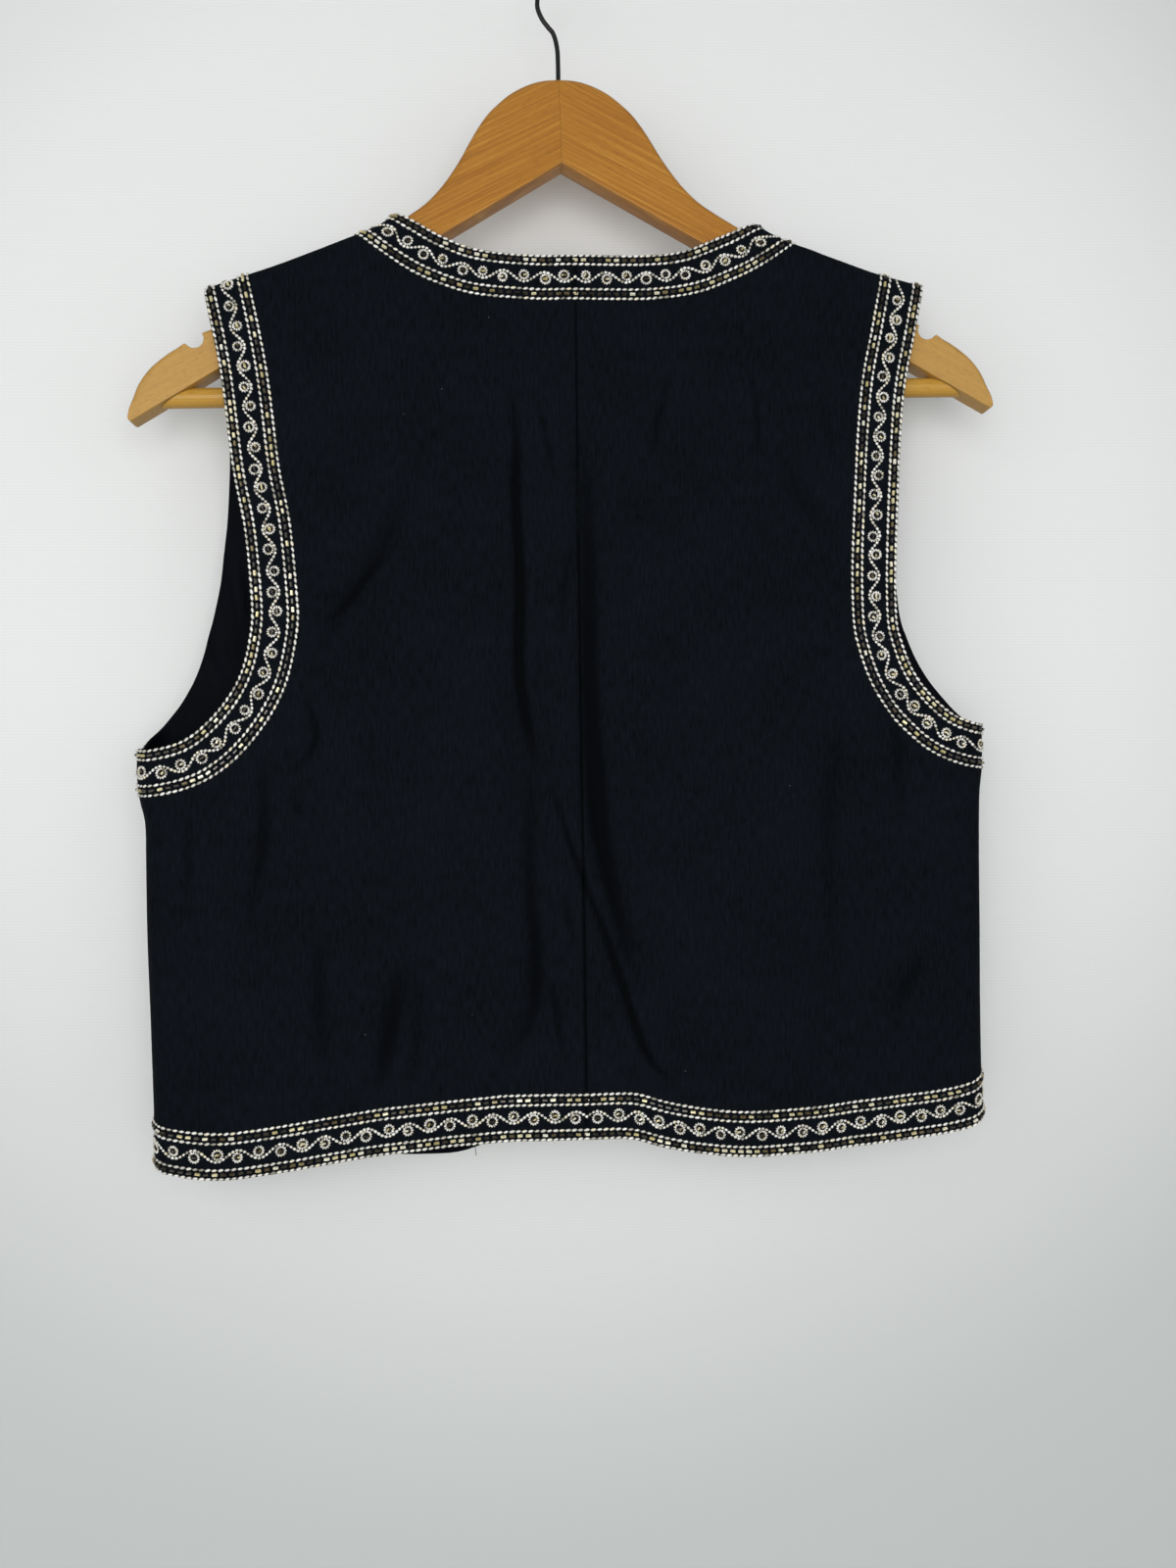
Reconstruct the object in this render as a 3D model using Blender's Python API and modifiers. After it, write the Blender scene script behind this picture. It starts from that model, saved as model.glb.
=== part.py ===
# A beaded vest on a wooden hanger. Metres, +Z up. The vest's back faces -Y.
# The origin is the inner top of the hook, where it hangs on a rail.
import math

import bmesh
import bpy
import numpy as np
from mathutils import Matrix, Vector, kdtree

# Cloth
WALL = 0.0016            # face cloth and lining together
SEAM_GAP = 0.0003        # between pieces at every seam
SEAM_OVERRUN = 0.004     # the back halves run this far past their seam before it is cut
TURN_OVERRUN = 0.0003    # and every panel this far past the side and shoulder seams
BAND_WIDTH = 0.0235      # beaded band, from the fabric's edge inwards
BAND_THICKNESS = 0.0010  # embroidered cloth and the beads' bodies
BAND_LIFT = 0.0003
CENTRE_BACK = 0.003      # the centre-back seam hangs this far right of the hook
FRONT_EDGE = 0.004       # each front edge hangs this far from the middle
SIDE_ROUND = 0.012       # the cloth turns the side within this width
RIDGE_ROUND = 0.0065     # and the shoulder within this one
RIDGE_SLOPE = math.radians(21.5)
FOLDS_START = -0.185     # the cloth lies flat against the hanger above here
FOLDS_FULL = -0.255
FOLD_STRAIGHT = 0.38     # share of a fold's length, each way from its middle, that keeps its depth
FOLD_FADE = 2.2          # past that it fades over this many half widths

# Mesh spacing
SEAM_STEPS = (0.0006, 0.0022, 0.0055, 0.0105)  # close points beside a turned edge
SIDE_ROWS = 6            # rows of the body below the underarm
UNDERARM_ROWS = 8        # rows that fan out from the underarm's curve
ARMHOLE_ROWS = 20        # rows from the underarm to the shoulder
NECK_ROWS = 8            # of those, the rows beside the back neck
FRONT_NECK_ROWS = 10
UNDERARM_LOW = -0.505    # where those rows start and end on the middle seam
UNDERARM_HIGH = -0.430
COLUMNS = 13
BAND_COLUMNS = 2
CURVE_STEPS = 12         # close points on a drawn line between two given ones
JOIN_DISTANCE = 0.00005
SHARP_ANGLE = math.radians(40)

# Hanger
ARM_THICKNESS = 0.012
ARM_EDGE_ROUND = 0.003
ARM_ROUND_ANGLE = math.radians(60)  # the arm's outline itself turns less than this
CROWN_STEPS = 2
ARM_LOW_APEX = -0.1004
ARM_LOW_SLOPE = 0.584
HANGER_X = -0.004
HANGER_TOP = -0.0568
HANGER_ROLL = math.radians(1.35)  # hangs with its right tip up
BAR_RADIUS = 0.005
BAR_Z = -0.2165
BAR_SIDES = 20
BAR_BLANK = 0.3          # before its ends are cut
NOTCH = {"x": 0.1883, "z": -0.1882, "radius": 0.0048, "steps": 8}
WIRE_RADIUS = 0.0012
HOOK_RADIUS = 0.0142
HOOK_ANGLES = range(12, 181, 21)    # degrees, from the plain end over the top
HOOK_BEND = ((-0.0142, -0.0178), (-0.0120, -0.0232), (-0.0089, -0.0274), (-0.0062, -0.0309),
             (-0.0045, -0.0375))    # where the wire comes back over the middle: (x, z)
HOOK_STEPS = 2
STEM_TOP = -0.046
STEM_BOTTOM = -0.074
STEM_BORE = 0.0015
BORE_LENGTH = 0.03
BORE_SIDES = 16

# Boxes that cut the seams: sizes in metres
CUTTER = {"wide": 0.6, "narrow": 0.05, "deep": 0.1, "half_deep": 0.06, "tall": 0.7, "z": -0.4}

# Half outlines: (distance from the middle, height), from the hem upwards or from the middle outwards.
SIDE = {
    "left": ((0.2133, -0.6055), (0.2135, -0.580), (0.2145, -0.535), (0.2157, -0.490), (0.2160, -0.455),
             (0.2163, -0.436), (0.2190, -0.424), (0.2202, -0.412), (0.2200, -0.3985)),
    "right": ((0.2120, -0.592), (0.2110, -0.560), (0.2112, -0.500), (0.2120, -0.440), (0.2125, -0.425),
              (0.2140, -0.412), (0.2144, -0.390)),
}
RIDGE = {
    "left": ((0.0885, -0.1270), (0.095, -0.1312), (0.103, -0.1353), (0.115, -0.1401), (0.145, -0.1522),
             (0.174, -0.1625), (0.184, -0.1670)),
    "right": ((0.0980, -0.1290), (0.113, -0.1363), (0.128, -0.1412), (0.144, -0.1470), (0.160, -0.1525),
              (0.173, -0.1560), (0.1855, -0.1592)),
}
BACK_NECK = {
    "left": ((-0.003, -0.1483), (0.020, -0.1483), (0.045, -0.1462), (0.064, -0.1402), (0.077, -0.1330),
             (0.0885, -0.1270)),
    "right": ((0.003, -0.1483), (0.039, -0.1478), (0.060, -0.1450), (0.078, -0.1375), (0.090, -0.1322),
              (0.0980, -0.1290)),
}
FRONT_NECK = {
    "left": ((0.004, -0.290), (0.010, -0.255), (0.030, -0.215), (0.055, -0.178), (0.075, -0.149),
             (0.0885, -0.1270)),
    "right": ((0.004, -0.290), (0.010, -0.255), (0.031, -0.215), (0.058, -0.178), (0.082, -0.149),
              (0.0980, -0.1290)),
}
BACK_ARMHOLE = {
    "left": ((0.2200, -0.3985), (0.209, -0.3992), (0.192, -0.3940), (0.1765, -0.3796), (0.1660, -0.3621),
             (0.1612, -0.341), (0.1608, -0.324), (0.1640, -0.2896), (0.1695, -0.2600), (0.1755, -0.2114),
             (0.184, -0.1670)),
    "right": ((0.2144, -0.390), (0.204, -0.3890), (0.1910, -0.3826), (0.1765, -0.3667), (0.1685, -0.3474),
              (0.1662, -0.328), (0.1685, -0.2738), (0.1730, -0.2215), (0.1795, -0.1884), (0.1855, -0.1592)),
}
FRONT_ARMHOLE = {
    "left": ((0.2200, -0.3985), (0.212, -0.3905), (0.204, -0.3780), (0.1945, -0.3580), (0.185, -0.3254),
             (0.1795, -0.295), (0.1760, -0.249), (0.1775, -0.205), (0.184, -0.1670)),
    "right": ((0.2144, -0.390), (0.208, -0.3820), (0.1968, -0.3690), (0.1885, -0.3568), (0.182, -0.3427),
              (0.1768, -0.3266), (0.1740, -0.285), (0.1745, -0.240), (0.179, -0.200), (0.1855, -0.1592)),
}
BACK_HEM = {
    "left": ((-0.003, -0.5972), (0.040, -0.5970), (0.087, -0.6008), (0.118, -0.6042), (0.1375, -0.607),
             (0.161, -0.6096), (0.1756, -0.6105), (0.190, -0.6096), (0.204, -0.6072), (0.2133, -0.6055)),
    "right": ((0.003, -0.5972), (0.026, -0.5976), (0.046, -0.6027), (0.081, -0.6072), (0.1236, -0.6061),
              (0.154, -0.6031), (0.180, -0.6009), (0.195, -0.5984), (0.2056, -0.5950), (0.2120, -0.592)),
}
FRONT_HEM = {
    "left": ((0.004, -0.6040), (0.040, -0.6075), (0.062, -0.6140), (0.0775, -0.6150), (0.0945, -0.6140),
             (0.125, -0.6085), (0.170, -0.6085), (0.200, -0.6070), (0.2133, -0.6055)),
    "right": ((0.004, -0.6030), (0.045, -0.6065), (0.080, -0.6090), (0.120, -0.6060), (0.160, -0.6020),
              (0.195, -0.5970), (0.2120, -0.592)),
}

# Height and how far the outer cloth stands from the middle plane there.
DEPTHS = ((-0.615, 0.0215), (-0.500, 0.0215), (-0.400, 0.0190), (-0.300, 0.0145), (-0.200, 0.0100),
          (-0.150, 0.0084), (-0.120, 0.0083))

# Folds: (top x, top z, bottom x, bottom z, half width, depth); a negative depth stands proud.
BACK_FOLDS = (
    (-0.027, -0.200, -0.027, -0.330, 0.014, 0.0030),
    (-0.027, -0.330, -0.019, -0.530, 0.012, 0.0042),
    (0.006, -0.256, 0.011, -0.414, 0.018, 0.0028),
    (0.011, -0.414, 0.038, -0.572, 0.015, 0.0040),
    (-0.006, -0.424, 0.043, -0.572, 0.007, -0.0022),
    (-0.020, -0.522, -0.036, -0.560, 0.008, 0.0018),
    (0.017, -0.335, 0.139, -0.357, 0.007, 0.0012),
    (-0.140, -0.338, -0.076, -0.292, 0.012, 0.0018),
    (-0.088, -0.493, -0.098, -0.562, 0.013, 0.0020),
    (-0.158, -0.413, -0.159, -0.483, 0.012, 0.0018),
    (0.048, -0.202, 0.040, -0.290, 0.014, 0.0020),
    (0.094, -0.230, 0.136, -0.300, 0.014, 0.0018),
    (0.134, -0.409, 0.134, -0.500, 0.014, 0.0018),
    (-0.175, -0.480, -0.175, -0.612, 0.030, -0.0035),
    (0.086, -0.470, 0.086, -0.612, 0.036, -0.0040),
)
FRONT_FOLDS = (
    (-0.060, -0.240, -0.050, -0.420, 0.014, 0.0025),
    (-0.110, -0.330, -0.100, -0.590, 0.016, 0.0034),
    (0.070, -0.250, 0.060, -0.430, 0.014, 0.0022),
    (0.115, -0.350, 0.120, -0.600, 0.016, 0.0034),
    (0.165, -0.420, 0.160, -0.560, 0.013, 0.0018),
    (-0.165, -0.430, -0.168, -0.560, 0.013, 0.0018),
    (-0.075, -0.500, -0.075, -0.612, 0.024, -0.0034),
    (0.080, -0.500, 0.080, -0.612, 0.028, -0.0030),
)

# Half of a hanger arm, in the hanger's own frame: (distance from its middle, height), top edge first.
ARM_CROWN = ((0.0, -0.0568), (0.008, -0.0574), (0.0155, -0.0594), (0.024, -0.0635), (0.031, -0.0688),
             (0.038, -0.0757), (0.0448, -0.0855), (0.052, -0.0978), (0.0589, -0.1078), (0.0663, -0.1164),
             (0.0750, -0.1236), (0.0960, -0.1368))
ARM_TOP_END = (0.1843, -0.1856)
ARM_TIP = ((0.1932, -0.1906), (0.2003, -0.1942), (0.2063, -0.1985), (0.2114, -0.2030), (0.2163, -0.2095),
           (0.2193, -0.2160), (0.2213, -0.2225), (0.2226, -0.2283), (0.2218, -0.2299))

COLOURS = {
    "cloth": ((0.010, 0.012, 0.016), 0.85, 0.0),
    "band": ((0.045, 0.042, 0.040), 0.60, 0.0),
    "wood": ((0.415, 0.190, 0.045), 0.40, 0.0),
    "bar": ((0.571, 0.361, 0.112), 0.30, 0.0),
    "wire": ((0.050, 0.050, 0.052), 0.35, 1.0),
}


def clear_scene():
    for obj in list(bpy.data.objects):
        bpy.data.objects.remove(obj)


def collection(name):
    made = bpy.data.collections.new(name)
    bpy.context.scene.collection.children.link(made)
    return made


def material(name):
    colour, roughness, metallic = COLOURS[name]
    made = bpy.data.materials.new(name)
    made.use_nodes = True
    shader = made.node_tree.nodes["Principled BSDF"]
    shader.inputs["Base Color"].default_value = (*colour, 1.0)
    shader.inputs["Roughness"].default_value = roughness
    shader.inputs["Metallic"].default_value = metallic
    return made


def smooth_line(points, steps=CURVE_STEPS):
    """A curve through the points, as close points."""
    given = np.array(points, float)
    ends = np.vstack([2 * given[0] - given[1], given, 2 * given[-1] - given[-2]])
    made = []
    for i in range(1, len(ends) - 2):
        before, start, end, after = ends[i - 1:i + 3]
        for t in np.arange(steps) / steps:
            made.append(0.5 * (2 * start + (end - before) * t
                               + (2 * before - 5 * start + 4 * end - after) * t ** 2
                               + (3 * start - before - 3 * end + after) * t ** 3))
    made.append(given[-1])
    return np.array(made)


def along(line):
    return np.concatenate([[0], np.cumsum(np.linalg.norm(np.diff(line, axis=0), axis=1))])


def sample(line, lengths):
    at = along(line)
    return np.stack([np.interp(lengths, at, line[:, k]) for k in range(2)], axis=1)


def spacing(length, count, start=(), end=()):
    """Distances along a length, with close ones beside a turned edge."""
    low = start[-1] if start else 0.0
    high = length - (end[-1] if end else 0.0)
    middle = np.linspace(low, high, count + 1 - len(start) - len(end))
    first = [0.0, *start[:-1]] if start else []
    last = [*(length - np.array(end[-2::-1])), length] if end else []
    return np.concatenate([first, middle, last])


def side_out(side, z):
    line = smooth_line(SIDE[side])
    return np.interp(z, line[:, 1], line[:, 0])


def ridge_z(side, out):
    line = smooth_line(RIDGE[side])
    inner = line[0, 1] + (line[0, 0] - out) * math.tan(RIDGE_SLOPE)
    return np.where(out < line[0, 0], inner, np.interp(out, line[:, 0], line[:, 1]))


def turned(distance, width):
    """A quarter of an ellipse: 0 on the edge and 1 from its width inwards."""
    t = np.clip(distance / width, 0, 1)
    return np.sqrt(1 - (1 - t) ** 2)


def fold_depth(folds, x, z):
    total = np.zeros_like(x)
    for top_x, top_z, low_x, low_z, width, depth in folds:
        run = np.array([low_x - top_x, low_z - top_z])
        length = np.linalg.norm(run)
        run = run / length
        t = ((x - top_x) * run[0] + (z - top_z) * run[1]) / length
        across = (x - top_x) * run[1] - (z - top_z) * run[0]
        beyond = np.maximum(np.abs(t - 0.5) - FOLD_STRAIGHT, 0) * length
        fade = np.exp(-(beyond / (FOLD_FADE * width)) ** 2)
        total += depth * np.exp(-(across / width) ** 2) * fade
    return total


def lifted(side, face, flat):
    """Points of the outer cloth over flat (out, z) points."""
    sign = {"left": -1, "right": 1}[side]
    facing = {"back": -1, "front": 1}[face]
    out = flat[..., 0]
    z = flat[..., 1]
    heights, depths = np.array(DEPTHS).T
    depth = np.interp(z, heights, depths)
    loose = np.clip((FOLDS_START - z) / (FOLDS_START - FOLDS_FULL), 0, 1)
    folds = BACK_FOLDS if face == "back" else FRONT_FOLDS
    depth = depth - loose * fold_depth(folds, sign * out, z)
    depth = depth * turned(np.maximum(side_out(side, z) - out, 0), SIDE_ROUND)
    fall = np.maximum(ridge_z(side, out) - z, 0) * math.cos(RIDGE_SLOPE)
    depth = depth * turned(fall, RIDGE_ROUND)
    return np.stack([sign * out, facing * (depth - TURN_OVERRUN), z], axis=-1)


def inner_line(line, lengths, start_way, end_way):
    """The band's inner edge: square to the fabric's edge, and along the seams at its two ends."""
    ways = np.gradient(line, axis=0)
    ways /= np.linalg.norm(ways, axis=1)[:, None]
    square = np.stack([ways[:, 1], -ways[:, 0]], axis=1)
    if square[0] @ np.array(start_way) < 0:
        square = -square
    at = along(line)
    for way, distance in ((start_way, at), (end_way, at[-1] - at)):
        share = np.clip(1 - distance / BAND_WIDTH, 0, 1)[:, None]
        square = square * (1 - share) + np.array(way) * share
    square /= np.linalg.norm(square, axis=1)[:, None]
    inner = line + square * BAND_WIDTH
    return np.stack([np.interp(lengths, at, inner[:, k]) for k in range(2)], axis=1)


def ridge_way(side, outward):
    """The way along the shoulder from one of its ends to the band's inner edge."""
    line = smooth_line(RIDGE[side])
    end, length = (0, BAND_WIDTH) if outward else (-1, along(line)[-1] - BAND_WIDTH)
    way = sample(line, [length])[0] - line[end]
    return way / np.linalg.norm(way)


def side_way(side, top):
    """The way down the side seam from the underarm to the band's inner edge."""
    way = np.array([side_out(side, top[1] - BAND_WIDTH) - top[0], -BAND_WIDTH])
    return way / np.linalg.norm(way)


def middle_heights(low, high, count):
    """Heights of the rows' ends up the middle, closer together beside the underarm's fan."""
    below = np.linspace(low, UNDERARM_LOW, SIDE_ROWS + 1)
    fan = np.linspace(UNDERARM_LOW, UNDERARM_HIGH, UNDERARM_ROWS + 1)
    above = np.linspace(UNDERARM_HIGH, high, count - SIDE_ROWS - UNDERARM_ROWS + 1)
    return np.concatenate([below, fan[1:], above[1:]])


def between(a, b, count, side=None):
    """A grid from one line to another, its last row laid on the shoulder where a side is given."""
    t = np.linspace(0, 1, count + 1)[None, :, None]
    grid = a[:, None, :] * (1 - t) + b[:, None, :] * t
    if side:
        up = np.linspace(0, 1, len(a))[:, None, None]
        grid = grid + up * (on_ridge(side, grid[-1].copy()) - grid[-1])
    return grid


def on_ridge(side, points):
    points[:, 1] = ridge_z(side, points[:, 0])
    return points


def on_side(side, points):
    points[:, 0] = side_out(side, points[:, 1])
    return points


def panel_patches(side, face):
    """Flat (out, z) grids that tile one panel: its body and its bands."""
    rows = SIDE_ROWS + ARMHOLE_ROWS
    armhole = smooth_line((BACK_ARMHOLE if face == "back" else FRONT_ARMHOLE)[side])
    hem = smooth_line((BACK_HEM if face == "back" else FRONT_HEM)[side])
    sign = {"left": -1, "right": 1}[side]

    lengths = spacing(along(armhole)[-1], ARMHOLE_ROWS, SEAM_STEPS, SEAM_STEPS)
    arm_edge = sample(armhole, lengths)
    arm_inner = inner_line(armhole, lengths, side_way(side, arm_edge[0]), ridge_way(side, False))
    arm_inner[0, 0] = side_out(side, arm_inner[0, 1])
    arm_edge[-1:] = on_ridge(side, arm_edge[-1:])
    arm_inner[-1:] = on_ridge(side, arm_inner[-1:])

    if face == "back":
        neck = smooth_line(BACK_NECK[side])
        neck_lengths = spacing(along(neck)[-1], NECK_ROWS, (), SEAM_STEPS)
        neck_edge = sample(neck, neck_lengths)
        neck_inner = inner_line(neck, neck_lengths, (0, -1), ridge_way(side, True))
        middle = CENTRE_BACK * sign - SEAM_OVERRUN
        neck_edge[0, 0] = middle
        neck_inner[0, 0] = middle
        low = np.interp(middle, hem[:, 0], hem[:, 1]) + BAND_WIDTH
        heights = middle_heights(low, neck_inner[0, 1], rows - NECK_ROWS)
        inner = np.vstack([np.stack([np.full(len(heights), middle), heights], axis=1), neck_inner[1:]])
    else:
        middle = FRONT_EDGE
        low = np.interp(middle + BAND_WIDTH, hem[:, 0], hem[:, 1])
        neck = smooth_line(FRONT_NECK[side])
        upper = sample(neck, spacing(along(neck)[-1], FRONT_NECK_ROWS, (), SEAM_STEPS))
        heights = middle_heights(low + BAND_WIDTH, upper[0, 1], rows - FRONT_NECK_ROWS)
        corner = np.linspace(low, low + BAND_WIDTH, BAND_COLUMNS + 1)[:-1]
        straight = np.concatenate([corner, heights])
        neck_edge = np.vstack([np.stack([np.full(len(straight), middle), straight], axis=1), upper[1:]])
        whole = np.vstack([neck_edge[:1], neck])
        neck_inner = inner_line(whole, along(neck_edge), (1, 0), ridge_way(side, True))
        neck_edge[0, 1] = np.interp(middle, hem[:, 0], hem[:, 1])
        inner = neck_inner[BAND_COLUMNS:]
    neck_edge[-1:] = on_ridge(side, neck_edge[-1:])
    neck_inner[-1:] = on_ridge(side, neck_inner[-1:])
    inner[-1] = neck_inner[-1]

    heights = np.linspace(hem[-1, 1] + BAND_WIDTH, arm_inner[0, 1], SIDE_ROWS + 1)
    outer = np.vstack([np.stack([side_out(side, heights), heights], axis=1), arm_inner[1:]])

    width = outer[0, 0] - inner[0, 0]
    outs = inner[0, 0] + spacing(width, COLUMNS, (), SEAM_STEPS)
    share = (outs - outs[0]) / width
    hem_outs = outs[0] + share * (hem[-1, 0] - outs[0])
    hem_edge = np.stack([hem_outs, np.interp(hem_outs, hem[:, 0], hem[:, 1])], axis=1)
    hem_inner = np.stack([outs, hem_edge[:, 1] + BAND_WIDTH], axis=1)
    hem_inner[-1] = outer[0]
    top = on_ridge(side, inner[-1] + share[:, None] * (outer[-1] - inner[-1]))

    up = np.linspace(0, 1, rows + 1)[:, None, None]
    across = share[None, :, None]
    body = inner[:, None] * (1 - across) + outer[:, None] * across
    body = body + (1 - up) * (hem_inner - body[0])[None] + up * (top - body[-1])[None]
    patches = {
        "body": body,
        "neck": between(neck_edge, neck_inner, BAND_COLUMNS, side),
        "armhole": between(arm_edge, arm_inner, BAND_COLUMNS, side),
        "hem": between(hem_edge, hem_inner, BAND_COLUMNS),
    }
    for points in (body[:SIDE_ROWS + 1, -1], patches["armhole"][0], patches["hem"][-1]):
        on_side(side, points)
    return patches


def grid_faces(rows, columns, start=0):
    faces = []
    for i in range(rows - 1):
        for j in range(columns - 1):
            a = start + i * columns + j
            faces.append((a, a + 1, a + columns + 1, a + columns))
    return faces


def sheet(name, grids, outward):
    """One open surface of several grids, joined where their points meet, facing outwards."""
    points = []
    faces = []
    for grid in grids:
        faces += grid_faces(grid.shape[0], grid.shape[1], len(points))
        points += [tuple(p) for p in grid.reshape(-1, 3)]
    mesh = bpy.data.meshes.new(name)
    mesh.from_pydata(points, [], faces)
    shaped = bmesh.new()
    shaped.from_mesh(mesh)
    bmesh.ops.remove_doubles(shaped, verts=shaped.verts, dist=JOIN_DISTANCE)
    bmesh.ops.recalc_face_normals(shaped, faces=shaped.faces)
    if sum(f.normal.y * f.calc_area() for f in shaped.faces) * outward < 0:
        bmesh.ops.reverse_faces(shaped, faces=shaped.faces)
    shaped.to_mesh(mesh)
    shaped.free()
    return mesh


def add_object(name, data, parts, mat):
    obj = bpy.data.objects.new(name, data)
    data.materials.append(mat)
    parts.objects.link(obj)
    return obj


def thicken(obj, thickness, offset):
    solid = obj.modifiers.new("wall", "SOLIDIFY")
    solid.thickness = thickness
    solid.offset = offset
    solid.use_rim = True
    obj.data.shade_smooth()
    obj.data.set_sharp_from_angle(angle=SHARP_ANGLE)


def moved_out(grid, tree, normals):
    """The band's points, moved out along the panel's normals."""
    made = np.empty_like(grid)
    for index in np.ndindex(grid.shape[:2]):
        nearest = tree.find(Vector(grid[index]))[1]
        made[index] = grid[index] + np.array(normals[nearest]) * BAND_LIFT
    return made


def build_seam_cutters(cutters):
    """Boxes that trim each half at the centre back, and each panel at the side and shoulder seams."""
    middle_size = (CUTTER["narrow"], CUTTER["deep"], CUTTER["tall"])
    face_size = (CUTTER["wide"], CUTTER["half_deep"], CUTTER["tall"])
    aside = (CUTTER["narrow"] - SEAM_GAP) / 2
    behind = (CUTTER["half_deep"] - SEAM_GAP) / 2
    places = {
        "left": (middle_size, (CENTRE_BACK + aside, 0, CUTTER["z"])),
        "right": (middle_size, (CENTRE_BACK - aside, 0, CUTTER["z"])),
        "back": (face_size, (0, behind, CUTTER["z"])),
        "front": (face_size, (0, -behind, CUTTER["z"])),
    }
    made = {}
    for name, (size, place) in places.items():
        bpy.ops.mesh.primitive_cube_add(size=1)
        cutter = bpy.context.object
        cutter.name = f"seam_{name}"
        cutter.data.transform(Matrix.Diagonal((*size, 1)))
        cutter.matrix_world = Matrix.Translation(place)
        as_cutter(cutter, cutters)
        made[name] = cutter
    return made


def as_cutter(obj, cutters):
    obj.hide_render = True
    obj.display_type = "WIRE"
    for owner in list(obj.users_collection):
        owner.objects.unlink(obj)
    cutters.objects.link(obj)


def cut(obj, name, cutter):
    boolean = obj.modifiers.new(name, "BOOLEAN")
    boolean.operation = "DIFFERENCE"
    boolean.object = cutter


def build_panel(side, face, parts, mats, seam_cutters):
    outward = {"back": -1, "front": 1}[face]
    patches = panel_patches(side, face)
    grids = {name: lifted(side, face, flat) for name, flat in patches.items()}
    mesh = sheet(f"{face}_{side}", grids.values(), outward)
    tree = kdtree.KDTree(len(mesh.vertices))
    for vertex in mesh.vertices:
        tree.insert(vertex.co, vertex.index)
    tree.balance()
    normals = [v.normal.copy() for v in mesh.vertices]
    panel = add_object(f"{face}_{side}", mesh, parts, mats["cloth"])
    thicken(panel, WALL, -1)
    cut(panel, "turned seams", seam_cutters[face])
    if face == "back":
        cut(panel, "centre seam", seam_cutters[side])
    for name in ("neck", "armhole", "hem"):
        strip = moved_out(grids[name], tree, normals)
        if name == "hem" and face == "front":
            strip[0, :, 0] += {"left": -1, "right": 1}[side] * SEAM_GAP
        surface = sheet(f"{name}_{face}_{side}", [strip], outward)
        band = add_object(surface.name, surface, parts, mats["band"])
        thicken(band, BAND_THICKNESS, 1)
        cut(band, "turned seams", seam_cutters[face])
        if face == "back" and name != "armhole":
            cut(band, "centre seam", seam_cutters[side])


def hanger_frame():
    return (Matrix.Translation((HANGER_X, 0, HANGER_TOP)) @ Matrix.Rotation(-HANGER_ROLL, 4, "Y")
            @ Matrix.Translation((0, 0, -HANGER_TOP)))


def arm_outline():
    crown = [tuple(p) for p in smooth_line(ARM_CROWN, CROWN_STEPS)]
    notch = []
    middle = Vector((NOTCH["x"], NOTCH["z"]))
    start = (Vector(ARM_TOP_END) - middle).to_2d()
    end = (Vector(ARM_TIP[0]) - middle).to_2d()
    first = math.atan2(start.y, start.x)
    last = math.atan2(end.y, end.x)
    for i in range(1, NOTCH["steps"]):
        angle = first + (last + 2 * math.pi - first) * i / NOTCH["steps"]
        notch.append((middle.x + NOTCH["radius"] * math.cos(angle),
                      middle.y + NOTCH["radius"] * math.sin(angle)))
    low = (SEAM_GAP / 2, ARM_LOW_APEX)
    crown[0] = (SEAM_GAP / 2, ARM_CROWN[0][1])
    return [*crown, ARM_TOP_END, *notch, *ARM_TIP, low]


def build_arm(side, parts, bore, mats):
    sign = {"left": -1, "right": 1}[side]
    curve = bpy.data.curves.new(f"hanger_arm_{side}", "CURVE")
    curve.dimensions = "2D"
    curve.fill_mode = "BOTH"
    curve.extrude = ARM_THICKNESS / 2
    outline = arm_outline()
    spline = curve.splines.new("POLY")
    spline.points.add(len(outline) - 1)
    for point, (out, z) in zip(spline.points, outline):
        point.co = (sign * out, z, 0, 1)
    spline.use_cyclic_u = True
    obj = add_object(curve.name, curve, parts, mats["wood"])
    obj.matrix_world = hanger_frame() @ Matrix.Rotation(math.radians(90), 4, "X")
    weld = obj.modifiers.new("weld", "WELD")
    weld.merge_threshold = JOIN_DISTANCE
    rounded = obj.modifiers.new("rounded", "BEVEL")
    rounded.width = ARM_EDGE_ROUND
    rounded.segments = 2
    rounded.limit_method = "ANGLE"
    rounded.angle_limit = ARM_ROUND_ANGLE
    rounded.use_clamp_overlap = True
    bpy.context.view_layer.update()
    mesh = bpy.data.meshes.new_from_object(obj.evaluated_get(bpy.context.evaluated_depsgraph_get()))
    solid = bpy.data.objects.new(f"hanger_arm_{side}_solid", mesh)
    solid.matrix_world = obj.matrix_world.copy()
    parts.objects.link(solid)
    bpy.data.objects.remove(obj)
    bpy.data.curves.remove(curve)
    solid.name = f"hanger_arm_{side}"
    cut(solid, "bore", bore)


def build_bore(cutters):
    bpy.ops.mesh.primitive_cylinder_add(vertices=BORE_SIDES, radius=STEM_BORE, depth=BORE_LENGTH)
    cutter = bpy.context.object
    cutter.name = "stem_bore"
    cutter.matrix_world = Matrix.Translation((HANGER_X, 0, STEM_BOTTOM - SEAM_GAP + BORE_LENGTH / 2))
    as_cutter(cutter, cutters)
    return cutter


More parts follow.
